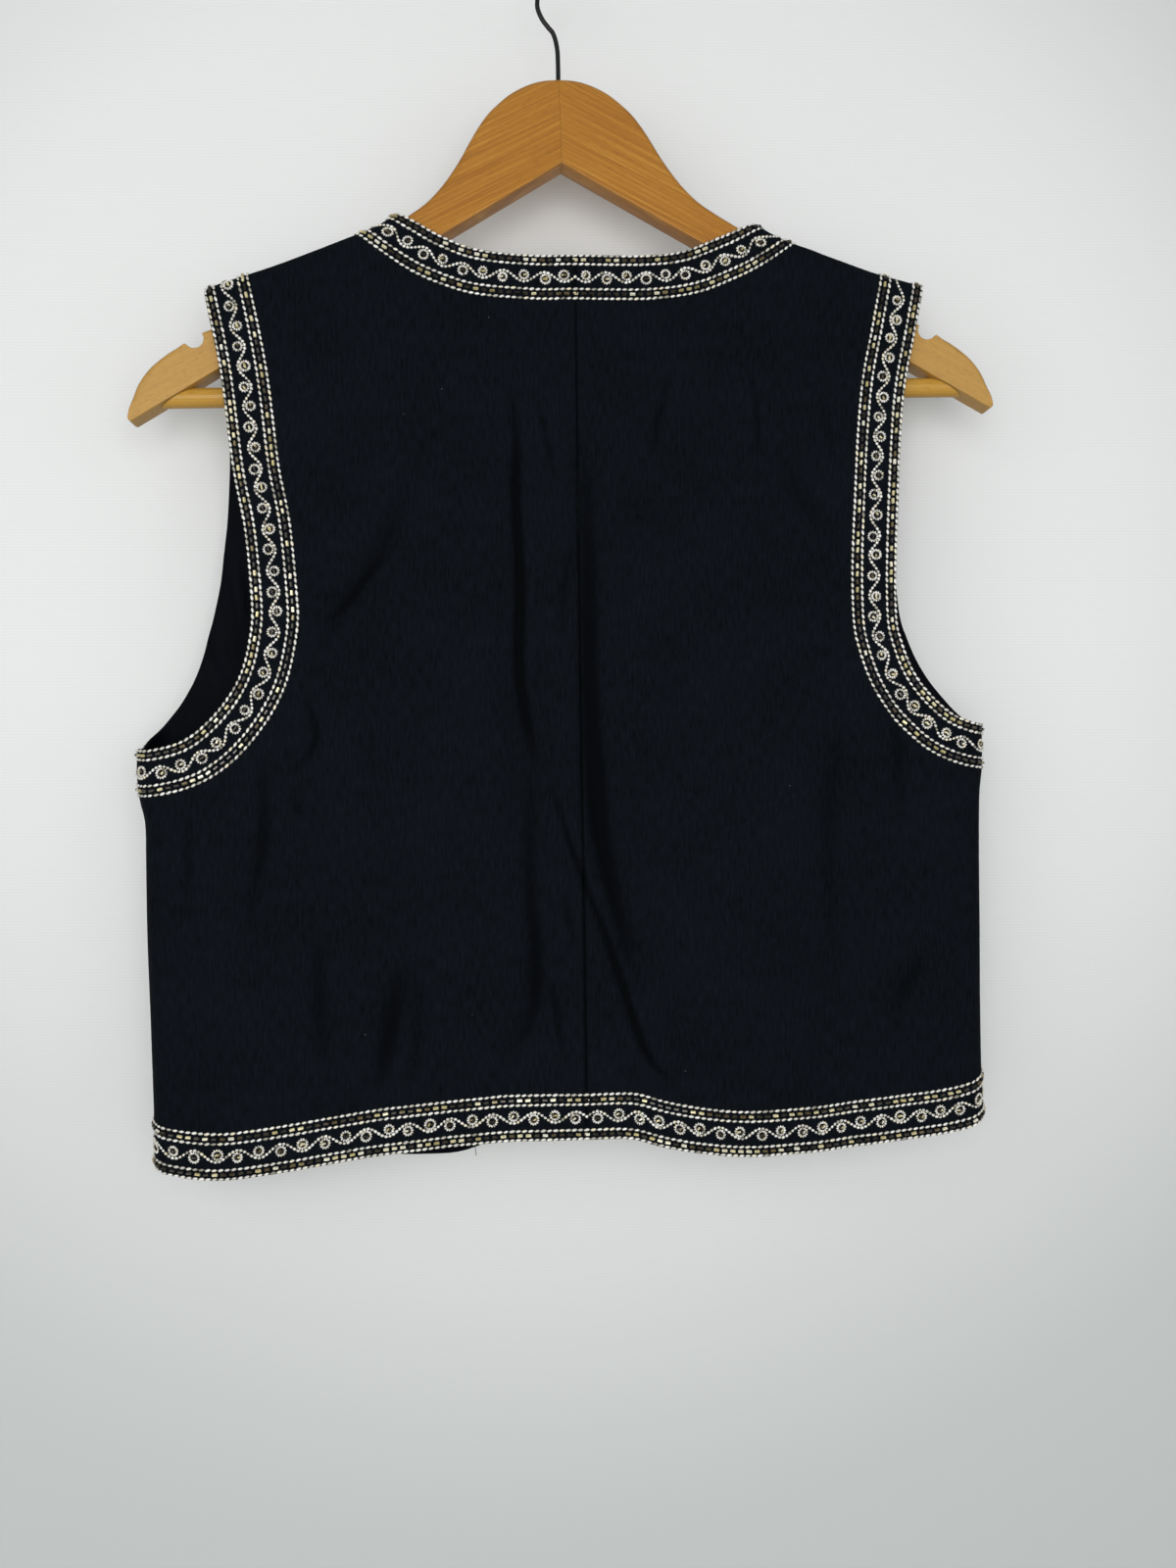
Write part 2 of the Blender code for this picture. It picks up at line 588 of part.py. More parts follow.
def build_bar(parts, mats):
    """A dowel whose ends are cut on the slant of the arms' undersides."""
    bpy.ops.mesh.primitive_cylinder_add(vertices=BAR_SIDES, radius=BAR_RADIUS, depth=BAR_BLANK)
    bar = bpy.context.object
    bar.name = "hanger_bar"
    bar.data.transform(Matrix.Rotation(math.radians(90), 4, "Y"))
    for vertex in bar.data.vertices:
        z = BAR_Z + vertex.co.z
        reach = (ARM_LOW_APEX - z) / ARM_LOW_SLOPE - SEAM_GAP / math.sin(math.atan(ARM_LOW_SLOPE))
        vertex.co.x = math.copysign(reach, vertex.co.x)
    bar.data.transform(Matrix.Translation((0, 0, BAR_Z)))
    bar.matrix_world = hanger_frame()
    bar.data.materials.append(mats["bar"])
    bar.data.shade_smooth()
    bar.data.set_sharp_from_angle(angle=SHARP_ANGLE)
    for owner in list(bar.users_collection):
        owner.objects.unlink(bar)
    parts.objects.link(bar)


def hook_line():
    """The wire's middle, from its plain end, over the top and down into the wood."""
    centre = WIRE_RADIUS - HOOK_RADIUS
    arc = [(HOOK_RADIUS * math.cos(math.radians(a)), centre + HOOK_RADIUS * math.sin(math.radians(a)))
           for a in HOOK_ANGLES]
    stem = [(HANGER_X, STEM_TOP), (HANGER_X, STEM_BOTTOM)]
    return smooth_line([*arc, *HOOK_BEND, *stem], HOOK_STEPS)


def build_hook(parts, mats):
    curve = bpy.data.curves.new("hook", "CURVE")
    curve.dimensions = "3D"
    curve.bevel_depth = WIRE_RADIUS
    curve.bevel_resolution = 2
    curve.use_fill_caps = True
    line = hook_line()
    spline = curve.splines.new("POLY")
    spline.points.add(len(line) - 1)
    for point, (x, z) in zip(spline.points, line):
        point.co = (x, 0, z, 1)
    add_object("hook", curve, parts, mats["wire"])


def main():
    clear_scene()
    parts = collection("beaded vest")
    cutters = collection("cutters")
    mats = {name: material(name) for name in COLOURS}
    seam_cutters = build_seam_cutters(cutters)
    for face in ("back", "front"):
        for side in ("left", "right"):
            build_panel(side, face, parts, mats, seam_cutters)
    bore = build_bore(cutters)
    for side in ("left", "right"):
        build_arm(side, parts, bore, mats)
    build_bar(parts, mats)
    build_hook(parts, mats)


main()
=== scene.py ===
import math

import bmesh
import bpy
import numpy as np
from mathutils import Matrix, Vector


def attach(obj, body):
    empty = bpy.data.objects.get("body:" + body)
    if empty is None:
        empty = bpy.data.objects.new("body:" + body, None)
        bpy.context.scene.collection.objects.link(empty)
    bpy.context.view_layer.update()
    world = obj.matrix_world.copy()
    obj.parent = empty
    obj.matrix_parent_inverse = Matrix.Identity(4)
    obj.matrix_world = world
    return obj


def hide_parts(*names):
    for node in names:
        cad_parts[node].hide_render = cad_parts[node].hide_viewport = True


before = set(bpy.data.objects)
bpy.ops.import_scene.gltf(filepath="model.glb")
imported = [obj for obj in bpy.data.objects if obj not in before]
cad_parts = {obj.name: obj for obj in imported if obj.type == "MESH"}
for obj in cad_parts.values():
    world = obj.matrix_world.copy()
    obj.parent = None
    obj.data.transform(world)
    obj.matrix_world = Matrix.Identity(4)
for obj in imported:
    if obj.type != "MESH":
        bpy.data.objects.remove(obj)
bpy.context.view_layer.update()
mm = 0.001

vest = {
    "wall": 1.6 * mm,  # face cloth and lining together
    "freeRoll": 0.8 * mm,  # a turned-in edge is a half round
    "seamRoll": 0.3 * mm,  # and rolls this much into a seam
    "backSeamRoll": 0.12 * mm,  # the back's two halves are pressed together
    "bandWidth": 23.5 * mm,
    "centreBack": 3 * mm,  # the centre-back seam hangs this far right of the hook
    "frontEdge": 4 * mm,  # each front edge hangs this far from the middle
    "sideRound": 12 * mm,  # the cloth turns the side within this width
    "ridgeRound": 6.5 * mm,  # and the shoulder within this one
    "ridgeSlope": math.radians(21.5),
    "foldsStart": -0.185,  # the cloth lies flat on the hanger above here
    "foldsFull": -0.255,
    "foldStraight": 0.38,  # share of a fold's length, each way, that keeps its depth
    "foldFade": 2.2,  # past that it fades over this many half widths
    "creaseLip": 0.22,  # share of a crease's depth that stands up beside it
    "creaseReach": 4,  # half widths, past which nothing of it is left
    "creaseTaper": 0.6,  # the lower, the blunter its ends
    "creaseHeld": 0.4,  # share of its depth where the cloth lies flat on the hanger
    "creaseFullShadeDepth": 1.7 * mm,  # a crease this deep gets the full painted shade
    # a fold this deep gets the full painted shade
    "foldFullShadeDepth": 13 * mm,
    "seamPaintedShade": 0.85,  # how much painted shade the centre-back seam gets in the middle
    "seamPaintedShadeWidth": 0.6 * mm,
}

fineness = {
    "seamSteps": 9,  # close rows beside a turned edge
    "seamWidth": 10.5 * mm,
    "sideRows": 38,
    "underarmRows": 30,
    "armholeRows": 120,
    "neckRows": 36,
    "frontNeckRows": 60,
    "columns": {"back": 118, "front": 48},  # the back's creases need the closer ones
    "bandColumns": 9,
    "underarmLow": -0.505,
    "underarmHigh": -0.430,
    "curveSteps": 24,
    "creaseSteps": 5,
    "rollSteps": 4,
    "cornerPoints": 20,
    "merge": 0.03 * mm,
}

# Half outlines, as the solids have them but at the front's left underarm: (out from the middle, height)
sideLine = {
    "left": ((0.2133, -0.6055), (0.2135, -0.580), (0.2145, -0.535), (0.2157, -0.490), (0.2160, -0.455),
             (0.2163, -0.436), (0.2190, -0.424), (0.2202, -0.412), (0.2200, -0.3985)),
    "right": ((0.2120, -0.592), (0.2110, -0.560), (0.2112, -0.500), (0.2120, -0.440), (0.2125, -0.425),
              (0.2140, -0.412), (0.2144, -0.390)),
}
ridgeLine = {
    "left": ((0.0885, -0.1270), (0.095, -0.1312), (0.103, -0.1353), (0.115, -0.1401), (0.145, -0.1522),
             (0.174, -0.1625), (0.184, -0.1670)),
    "right": ((0.0980, -0.1290), (0.113, -0.1363), (0.128, -0.1412), (0.144, -0.1470), (0.160, -0.1525),
              (0.173, -0.1560), (0.1855, -0.1592)),
}
neckLine = {
    ("back", "left"): ((-0.003, -0.1483), (0.020, -0.1483), (0.045, -0.1462), (0.064, -0.1402),
                       (0.077, -0.1330), (0.0885, -0.1270)),
    ("back", "right"): ((0.003, -0.1483), (0.039, -0.1478), (0.060, -0.1450), (0.078, -0.1375),
                        (0.090, -0.1322), (0.0980, -0.1290)),
    ("front", "left"): ((0.004, -0.290), (0.010, -0.255), (0.030, -0.215), (0.055, -0.178),
                        (0.075, -0.149), (0.0885, -0.1270)),
    ("front", "right"): ((0.004, -0.290), (0.010, -0.255), (0.031, -0.215), (0.058, -0.178),
                         (0.082, -0.149), (0.0980, -0.1290)),
}
armholeLine = {
    ("back", "left"): ((0.2200, -0.3985), (0.209, -0.3992), (0.192, -0.3940), (0.1765, -0.3796),
                       (0.1660, -0.3621), (0.1612, -0.341), (0.1608, -0.324), (0.1640, -0.2896),
                       (0.1695, -0.2600), (0.1755, -0.2114), (0.184, -0.1670)),
    ("back", "right"): ((0.2144, -0.390), (0.204, -0.3890), (0.1910, -0.3826), (0.1765, -0.3667),
                        (0.1685, -0.3474), (0.1662, -0.328), (0.1685, -0.2738), (0.1730, -0.2215),
                        (0.1795, -0.1884), (0.1855, -0.1592)),
    ("front", "left"): ((0.2200, -0.3985), (0.2178, -0.3925), (0.2105, -0.3835), (0.2025, -0.3730),
                        (0.1940, -0.3562), (0.185, -0.3254), (0.1795, -0.295), (0.1760, -0.249),
                        (0.1775, -0.205), (0.184, -0.1670)),
    ("front", "right"): ((0.2144, -0.390), (0.208, -0.3820), (0.1968, -0.3690), (0.1885, -0.3568),
                         (0.182, -0.3427), (0.1768, -0.3266), (0.1740, -0.285), (0.1745, -0.240),
                         (0.179, -0.200), (0.1855, -0.1592)),
}
hemLine = {
    ("back", "left"): ((-0.003, -0.5972), (0.040, -0.5970), (0.087, -0.6008), (0.118, -0.6042),
                       (0.1375, -0.607), (0.161, -0.6096), (0.1756, -0.6105), (0.190, -0.6096),
                       (0.204, -0.6072), (0.2133, -0.6055)),
    ("back", "right"): ((0.003, -0.5972), (0.026, -0.5976), (0.046, -0.6027), (0.081, -0.6072),
                        (0.1236, -0.6061), (0.154, -0.6031), (0.180, -0.6009), (0.195, -0.5984),
                        (0.2056, -0.5950), (0.2120, -0.592)),
    ("front", "left"): ((0.004, -0.6040), (0.040, -0.6075), (0.062, -0.6140), (0.0775, -0.6150),
                        (0.0945, -0.6140), (0.125, -0.6085), (0.170, -0.6085), (0.200, -0.6070),
                        (0.2133, -0.6055)),
    ("front", "right"): ((0.004, -0.6030), (0.045, -0.6065), (0.080, -0.6090), (0.120, -0.6060),
                         (0.160, -0.6020), (0.195, -0.5970), (0.2120, -0.592)),
}

# Height, and how far the outer cloth stands from the middle plane there
depthTable = ((-0.615, 0.0215), (-0.500, 0.0215), (-0.400, 0.0190), (-0.300, 0.0145), (-0.200, 0.0100),
              (-0.150, 0.0084), (-0.120, 0.0083))

# Folds: (top x, top z, bottom x, bottom z, half width, depth); a negative depth stands proud
foldTable = {
    "back": (
        (-0.027, -0.200, -0.027, -0.330, 0.014, 0.0030),
        (-0.027, -0.330, -0.019, -0.530, 0.012, 0.0042),
        (0.006, -0.256, 0.011, -0.414, 0.018, 0.0028),
        (0.011, -0.414, 0.038, -0.572, 0.015, 0.0040),
        (-0.006, -0.424, 0.043, -0.572, 0.007, -0.0022),
        (-0.020, -0.522, -0.036, -0.560, 0.008, 0.0018),
        (0.017, -0.335, 0.139, -0.357, 0.007, 0.0012),
        (-0.140, -0.338, -0.076, -0.292, 0.012, 0.0018),
        (-0.088, -0.493, -0.098, -0.562, 0.013, 0.0020),
        (-0.158, -0.413, -0.159, -0.483, 0.012, 0.0018),
        (0.048, -0.202, 0.040, -0.290, 0.014, 0.0020),
        (0.094, -0.230, 0.136, -0.300, 0.014, 0.0018),
        (0.134, -0.409, 0.134, -0.500, 0.014, 0.0018),
        (-0.175, -0.480, -0.175, -0.612, 0.030, -0.0035),
        (0.086, -0.470, 0.086, -0.612, 0.036, -0.0040),
    ),
    "front": (
        (-0.060, -0.240, -0.050, -0.420, 0.014, 0.0025),
        (-0.110, -0.330, -0.100, -0.590, 0.016, 0.0034),
        (0.070, -0.250, 0.060, -0.430, 0.014, 0.0022),
        (0.115, -0.350, 0.120, -0.600, 0.016, 0.0034),
        (0.165, -0.420, 0.160, -0.560, 0.013, 0.0018),
        (-0.165, -0.430, -0.168, -0.560, 0.013, 0.0018),
        (-0.075, -0.500, -0.075, -0.612, 0.024, -0.0034),
        (0.080, -0.500, 0.080, -0.612, 0.028, -0.0030),
    ),
}

# Creases over those: (half width, depth, points of the line), all in mm
creaseTable = {
    "back": (
        (0.9, 0.6, ((3, -168), (3, -380), (3, -600))),  # the centre-back seam
        (2.6, 1.7, ((-32, -210), (-28, -242), (-28.6, -272), (-27, -316),
                    (-28, -360), (-24, -390), (-20, -407))),
        (3.2, 1.0, ((-23, -410), (-23.7, -469), (-21.6, -498), (-21.4, -523), (-26, -540), (-36, -555))),
        (2.0, 1.0, ((-18, -212), (-15, -230), (-12, -247), (-7.5, -266))),
        (5.0, 1.5, ((6, -241), (7.3, -300), (7.5, -360), (9.3, -414), (13, -453), (21, -490), (26, -517))),
        (3.0, 0.9, ((0.5, -296), (-4.7, -320), (-6.6, -350))),
        (2.2, 2.1, ((-13, -416), (-5, -444), (4, -470), (14, -497),
                    (24, -527), (30, -546), (37, -561), (48, -569))),
        (2.2, 1.0, ((-7, -471), (-4, -490), (-0.6, -504))),
        (2.2, 1.1, ((-14, -518), (-11, -537), (-7, -559))),
        (7.0, 0.8, ((-70, -236), (-80, -258), (-89, -283), (-98, -301),
                    (-110, -318), (-122, -341), (-130, -363))),
        (1.8, 1.2, ((-95, -303), (-105, -316), (-114, -327), (-124, -338))),
        (1.8, 0.8, ((-139, -334), (-128, -324), (-114, -322))),
        (3.0, 1.3, ((-138, -372), (-132, -380), (-129, -392), (-132, -402), (-140, -411))),
        (4.0, 0.9, ((-139, -417), (-138, -437))),
        (4.5, 1.2, ((-155, -398), (-155, -437), (-158, -462), (-164, -494))),
        (5.5, 1.3, ((-87, -507), (-93.6, -539), (-100, -571))),
        (4.0, 1.1, ((-79, -512), (-81, -541), (-86, -573))),
        (6.0, 1.1, ((-127, -486), (-129, -520), (-126, -567))),
        (2.6, 1.1, ((53, -203), (46, -228), (41, -251))),
        (2.2, 1.2, ((83, -193), (91, -207), (95, -222), (96.2, -239), (96.5, -252))),
        (6.0, 0.6, ((106, -246), (114, -266), (126, -282), (140, -291))),
        (3.0, 0.9, ((130, -216), (132, -233), (136, -258))),
        (1.6, 0.6, ((104, -341), (122, -342), (141, -344))),
        (1.6, 0.6, ((105, -349), (124, -351), (144, -352))),
        (1.4, 0.5, ((51, -357), (85, -356), (114, -356), (144, -357))),
        (1.6, 0.4, ((51, -339), (75, -331), (105, -332))),
        (6.0, 0.8, ((137, -374), (133, -406), (128, -440), (128, -485), (130, -539))),
        (5.0, 1.1, ((177, -506), (169, -521), (157, -538))),
        (3.0, 0.5, ((-61, -433), (-63, -455))),
        (4.0, 0.6, ((-102, -382), (-102, -421))),
        (4.0, 1.0, ((164, -366), (165, -410), (167, -444))),
        (4.0, 1.2, ((-190, -424), (-192, -488))),
        (4.0, 0.6, ((60, -457), (62, -496), (72, -545))),
        (3.0, 0.4, ((33, -384), (34, -418))),
    ),
    "front": (
        (7.0, 0.8, ((-140, -300), (-136, -350), (-132, -400))),
        (7.0, 0.8, ((140, -320), (136, -370), (132, -420))),
        (3.0, 1.2, ((-182, -270), (-176, -300), (-170, -345), (-172, -380))),
        (3.0, 1.0, ((-190, -330), (-180, -355), (-165, -372))),
        (3.0, 1.0, ((180, -300), (174, -340), (178, -370))),
    ),
}

sideSign = {"left": -1, "right": 1}
facing = {"back": -1, "front": 1}


def linear(code):  # an sRGB hex colour, as the linear one that shaders take
    parts = [int(code[i:i + 2], 16) / 255 for i in (0, 2, 4)]
    return (*[p / 12.92 if p <= 0.04045 else ((p + 0.055) / 1.055) ** 2.4 for p in parts], 1.0)


def addNode(tree, kind, inputs=None, stops=None, **settings):  # inputs hold values or sockets
    node = tree.nodes.new(kind)
    for name, value in settings.items():
        setattr(node, name, value)
    for name, value in (inputs or {}).items():
        if isinstance(value, bpy.types.NodeSocket):
            tree.links.new(value, node.inputs[name])
        else:
            node.inputs[name].default_value = value
    for i, (place, code) in enumerate(stops or ()):
        ramp = node.color_ramp.elements
        stop = ramp[i] if i < 2 else ramp.new(place)
        stop.position = place
        stop.color = linear(code)
    return node


def startMaterial(name, roughness, metallic=0.0, **fixed):
    made = bpy.data.materials.new(name)
    made.use_nodes = True
    shader = made.node_tree.nodes["Principled BSDF"]
    shader.inputs["Roughness"].default_value = roughness
    shader.inputs["Metallic"].default_value = metallic
    for socket, value in fixed.items():
        shader.inputs[socket.replace("_", " ")].default_value = value
    return made, made.node_tree, shader


# Black-navy viscose plain weave: matt, with faint slubs down the warp and a soft crinkle from wear, and
# painted shade in its folds, creases and centre-back seam
clothFinish = {
    "threadSpacing": 0.9 * mm,  # really 0.35 mm, drawn coarser so that it shows
    "slubWide": 1.3 * mm,
    "slubLong": 7 * mm,
    "crinkleWide": 5 * mm,
    "crinkleLong": 11 * mm,
    "lintSpacing": 21 * mm,
    "wornPatch": 42 * mm,
    "dark": "06090D",
    "light": "0F141B",
    "fold": "020305",  # painted shade, the colour deep inside a fold or crease and along the centre-back seam
    "lint": "767B7E",
}


def makeCloth(finish):
    made, tree, shader = startMaterial(
        "navyBlackViscoseWeave", 0.85, Specular_IOR_Level=0.05, Sheen_Weight=0.008, Sheen_Roughness=0.5,
        Sheen_Tint=linear("8E9CB5"))
    flat = addNode(tree, "ShaderNodeUVMap", uv_map="weave")
    slubPlace = addNode(tree, "ShaderNodeMapping", {
        "Vector": flat.outputs[0], "Scale": (1 / finish["slubWide"], 1 / finish["slubLong"], 1)})
    slub = addNode(tree, "ShaderNodeTexNoise", {
        "Vector": slubPlace.outputs[0], "Scale": 1.0, "Detail": 3.0})
    worn = addNode(tree, "ShaderNodeTexNoise", {
        "Vector": flat.outputs[0], "Scale": 1 / finish["wornPatch"], "Detail": 2.0})
    mottle = addNode(tree, "ShaderNodeMix", {
        0: 0.25, 2: slub.outputs["Fac"], 3: worn.outputs["Fac"]}, data_type="FLOAT")
    tone = addNode(tree, "ShaderNodeValToRGB", {"Fac": mottle.outputs[0]},
                   ((0.34, finish["dark"]), (0.66, finish["light"])))
    lintCells = addNode(tree, "ShaderNodeTexVoronoi", {
        "Vector": flat.outputs[0], "Scale": 1 / finish["lintSpacing"], "Randomness": 1.0}, feature="F1")
    lintDot = addNode(tree, "ShaderNodeMath", {
        0: lintCells.outputs["Distance"], 1: 0.010}, operation="LESS_THAN")
    # painted shade: the deeper a fold, a crease or the centre-back seam, the nearer the colour goes to the
    # dark fold colour
    hollow = addNode(tree, "ShaderNodeAttribute", attribute_name="hollow")
    foldShadeAmount = addNode(tree, "ShaderNodeMapRange", {
        "Value": hollow.outputs["Fac"], "From Min": 0.03, "From Max": 1.0, "To Max": 0.9},
        interpolation_type="SMOOTHSTEP")
    foldShadedTone = addNode(tree, "ShaderNodeMix", {
        0: foldShadeAmount.outputs[0], 6: tone.outputs[0], 7: linear(finish["fold"])}, data_type="RGBA")
    colour = addNode(tree, "ShaderNodeMix", {
        0: lintDot.outputs[0], 6: foldShadedTone.outputs[2], 7: linear(finish["lint"])}, data_type="RGBA")
    tree.links.new(colour.outputs[2], shader.inputs["Base Color"])
    warp = addNode(tree, "ShaderNodeTexWave", {
        "Vector": flat.outputs[0], "Scale": 1 / finish["threadSpacing"] / math.tau * 2, "Distortion": 1.2,
        "Detail Scale": 40.0}, bands_direction="X", wave_profile="SIN")
    weft = addNode(tree, "ShaderNodeTexWave", {
        "Vector": flat.outputs[0], "Scale": 1 / finish["threadSpacing"] / math.tau * 2, "Distortion": 1.2,
        "Detail Scale": 40.0}, bands_direction="Y", wave_profile="SIN")
    weave = addNode(tree, "ShaderNodeMath", {
        0: warp.outputs["Fac"], 1: weft.outputs["Fac"]}, operation="MULTIPLY")
    crinklePlace = addNode(tree, "ShaderNodeMapping", {
        "Vector": flat.outputs[0], "Scale": (1 / finish["crinkleWide"], 1 / finish["crinkleLong"], 1)})
    crinkle = addNode(tree, "ShaderNodeTexNoise", {
        "Vector": crinklePlace.outputs[0], "Scale": 1.0, "Detail": 4.0, "Roughness": 0.6})
    threads = addNode(tree, "ShaderNodeBump", {
        "Height": weave.outputs[0], "Strength": 0.35, "Distance": 0.12 * mm})
    bump = addNode(tree, "ShaderNodeBump", {
        "Height": crinkle.outputs["Fac"], "Strength": 0.5, "Distance": 0.5 * mm,
        "Normal": threads.outputs[0]})
    tree.links.new(bump.outputs[0], shader.inputs["Normal"])
    return made


# Black polyester taffeta lining: thin, smooth and a little shiny, with soft wrinkles
def makeLining():
    made, tree, shader = startMaterial("blackTaffetaLining", 0.6, Specular_IOR_Level=0.04)
    flat = addNode(tree, "ShaderNodeUVMap", uv_map="weave")
    place = addNode(tree, "ShaderNodeMapping", {"Vector": flat.outputs[0], "Scale": (70, 22, 1)})
    wrinkle = addNode(tree, "ShaderNodeTexNoise", {"Vector": place.outputs[0], "Scale": 1.0, "Detail": 3.0})
    tone = addNode(tree, "ShaderNodeValToRGB", {"Fac": wrinkle.outputs["Fac"]},
                   ((0.3, "03050A"), (0.75, "070B13")))
    bump = addNode(tree, "ShaderNodeBump", {
        "Height": wrinkle.outputs["Fac"], "Strength": 0.7, "Distance": 3 * mm})
    tree.links.new(tone.outputs[0], shader.inputs["Base Color"])
    tree.links.new(bump.outputs[0], shader.inputs["Normal"])
    return made


# Silver metallised thread, wound round a core and stitched: bright, broken by its own twist
def makeSilverThread():
    made, tree, shader = startMaterial("silverMetallisedThread", 0.38, 0.25)
    tone = addNode(tree, "ShaderNodeAttribute", attribute_name="stitchTone")
    colour = addNode(tree, "ShaderNodeValToRGB", {"Fac": tone.outputs["Fac"]},
                     ((0.0, "8F8B7E"), (0.1, "CFCBC0"), (0.35, "E4E1D8"), (0.8, "FAF8F3"), (1.0, "EDE3C6")))
    place = addNode(tree, "ShaderNodeTexCoord")
    twist = addNode(tree, "ShaderNodeTexNoise", {
        "Vector": place.outputs["Object"], "Scale": 1 / (0.5 * mm), "Detail": 2.0})
    bump = addNode(tree, "ShaderNodeBump", {
        "Height": twist.outputs["Fac"], "Strength": 0.6, "Distance": 0.15 * mm})
    tree.links.new(colour.outputs[0], shader.inputs["Base Color"])
    tree.links.new(bump.outputs[0], shader.inputs["Normal"])
    return made


# Hex-cut glass bugle beads with a bronze lining: dark, and the gold flash of a facet here and there is
# painted, as a pale gold colour on a random share of the beads
def makeBugleGlass():
    made, tree, shader = startMaterial(
        "bronzeLinedCutGlass", 0.16, 0.35, Coat_Weight=0.6, Coat_Roughness=0.05)
    tone = addNode(tree, "ShaderNodeAttribute", attribute_name="stitchTone")
    # the ramp's upper part is a painted glint: beads drawn high get a pale gold colour
    colour = addNode(tree, "ShaderNodeValToRGB", {"Fac": tone.outputs["Fac"]},
                     ((0.0, "14110C"), (0.45, "352B1B"), (0.58, "6E5F3C"), (0.68, "C9BB85"),
                      (0.85, "EBE1B6"), (1.0, "FBF7E6")))
    place = addNode(tree, "ShaderNodeTexCoord")
    lustre = addNode(tree, "ShaderNodeTexNoise", {
        "Vector": place.outputs["Object"], "Scale": 1 / (1.5 * mm), "Detail": 1.0})
    rough = addNode(tree, "ShaderNodeMapRange", {
        "Value": lustre.outputs["Fac"], "To Min": 0.08, "To Max": 0.3})
    tree.links.new(colour.outputs[0], shader.inputs["Base Color"])
    tree.links.new(rough.outputs[0], shader.inputs["Roughness"])
    return made


def smoothLine(points, steps=fineness["curveSteps"]):  # a curve through the points, as close points
    given = np.array(points, float)
    ends = np.vstack([2 * given[0] - given[1], given, 2 * given[-1] - given[-2]])
    made = []
    for i in range(1, len(ends) - 2):
        before, start, end, after = ends[i - 1:i + 3]
        for t in np.arange(steps) / steps:
            made.append(0.5 * (2 * start + (end - before) * t
                               + (2 * before - 5 * start + 4 * end - after) * t ** 2
                               + (3 * start - before - 3 * end + after) * t ** 3))
    made.append(given[-1])
    return np.array(made)


def alongLine(line):
    return np.concatenate([[0], np.cumsum(np.linalg.norm(np.diff(line, axis=0), axis=1))])


def sampleLine(line, lengths, at=None):  # at holds the lengths of the line's own points
    at = alongLine(line) if at is None else at
    return np.stack([np.interp(lengths, at, line[:, k]) for k in range(2)], axis=1)


def edgeSteps():  # closer and closer towards a turned edge
    count = fineness["seamSteps"]
    return [fineness["seamWidth"] * (i / count) ** 2 for i in range(1, count + 1)]


def spacing(length, count, startSteps=(), endSteps=()):
    low = startSteps[-1] if len(startSteps) else 0.0
    high = length - (endSteps[-1] if len(endSteps) else 0.0)
    middle = np.linspace(low, high, count + 1 - len(startSteps) - len(endSteps))
    first = [0.0, *startSteps[:-1]] if len(startSteps) else []
    last = [*(length - np.array(endSteps[-2::-1])), length] if len(endSteps) else []
    return np.concatenate([first, middle, last])


sideCurve = {side: smoothLine(sideLine[side]) for side in sideSign}
ridgeCurve = {side: smoothLine(ridgeLine[side]) for side in sideSign}


def sideOut(side, z):
    return np.interp(z, sideCurve[side][:, 1], sideCurve[side][:, 0])


def ridgeZ(side, out):
    line = ridgeCurve[side]
    inner = line[0, 1] + (line[0, 0] - out) * math.tan(vest["ridgeSlope"])
    return np.where(out < line[0, 0], inner, np.interp(out, line[:, 0], line[:, 1]))


def turnedIn(distance, width):  # a quarter of an ellipse: 0 on the edge and 1 from its width inwards
    t = np.clip(distance / width, 0, 1)
    return np.sqrt(1 - (1 - t) ** 2)


def foldDepth(folds, x, z):
    total = np.zeros_like(x)
    for topX, topZ, lowX, lowZ, width, depth in folds:
        run = np.array([lowX - topX, lowZ - topZ])
        length = np.linalg.norm(run)
        run = run / length
        t = ((x - topX) * run[0] + (z - topZ) * run[1]) / length
        across = (x - topX) * run[1] - (z - topZ) * run[0]
        beyond = np.maximum(np.abs(t - 0.5) - vest["foldStraight"], 0) * length
        fade = np.exp(-(beyond / (vest["foldFade"] * width)) ** 2)
        total += depth * np.exp(-(across / width) ** 2) * fade
    return total


creaseLines = {face: [(width * mm, depth * mm, smoothLine(points, fineness["creaseSteps"]) * mm)
                      for width, depth, points in creases] for face, creases in creaseTable.items()}


def creaseDepth(face, x, z):  # a trough along each line, with a slight lip beside it
    total = np.zeros_like(x)
    for width, depth, line in creaseLines[face]:
        reach = vest["creaseReach"] * width
        low, high = line.min(axis=0) - reach, line.max(axis=0) + reach
        near = (x > low[0]) & (x < high[0]) & (z > low[1]) & (z < high[1])
        if not near.any():
            continue
        points = np.stack([x[near], z[near]], axis=-1)[:, None]
        starts, runs = line[None, :-1], np.diff(line, axis=0)[None]
        along = np.clip(((points - starts) * runs).sum(-1) / (runs ** 2).sum(-1), 0, 1)
        gaps = np.linalg.norm(points - starts - along[..., None] * runs, axis=-1)
        nearest = gaps.argmin(axis=1)
        each = np.arange(len(nearest))
        share = (nearest + along[each, nearest]) / runs.shape[1]
        across = gaps[each, nearest] / width
        shape = np.exp(-across ** 2) - vest["creaseLip"] * np.exp(-(across - 2) ** 2)
        total[near] += depth * shape * np.sin(math.pi * share) ** vest["creaseTaper"]
    return total


rippleTable = (  # cell width, cell height, height of the ripple
    (17 * mm, 46 * mm, 0.50 * mm),
    (11 * mm, 24 * mm, 0.16 * mm),
    (5.5 * mm, 11 * mm, 0.07 * mm),
)
rippleCells = (140, 80)
rippleSeed = {"back": 11, "front": 18}


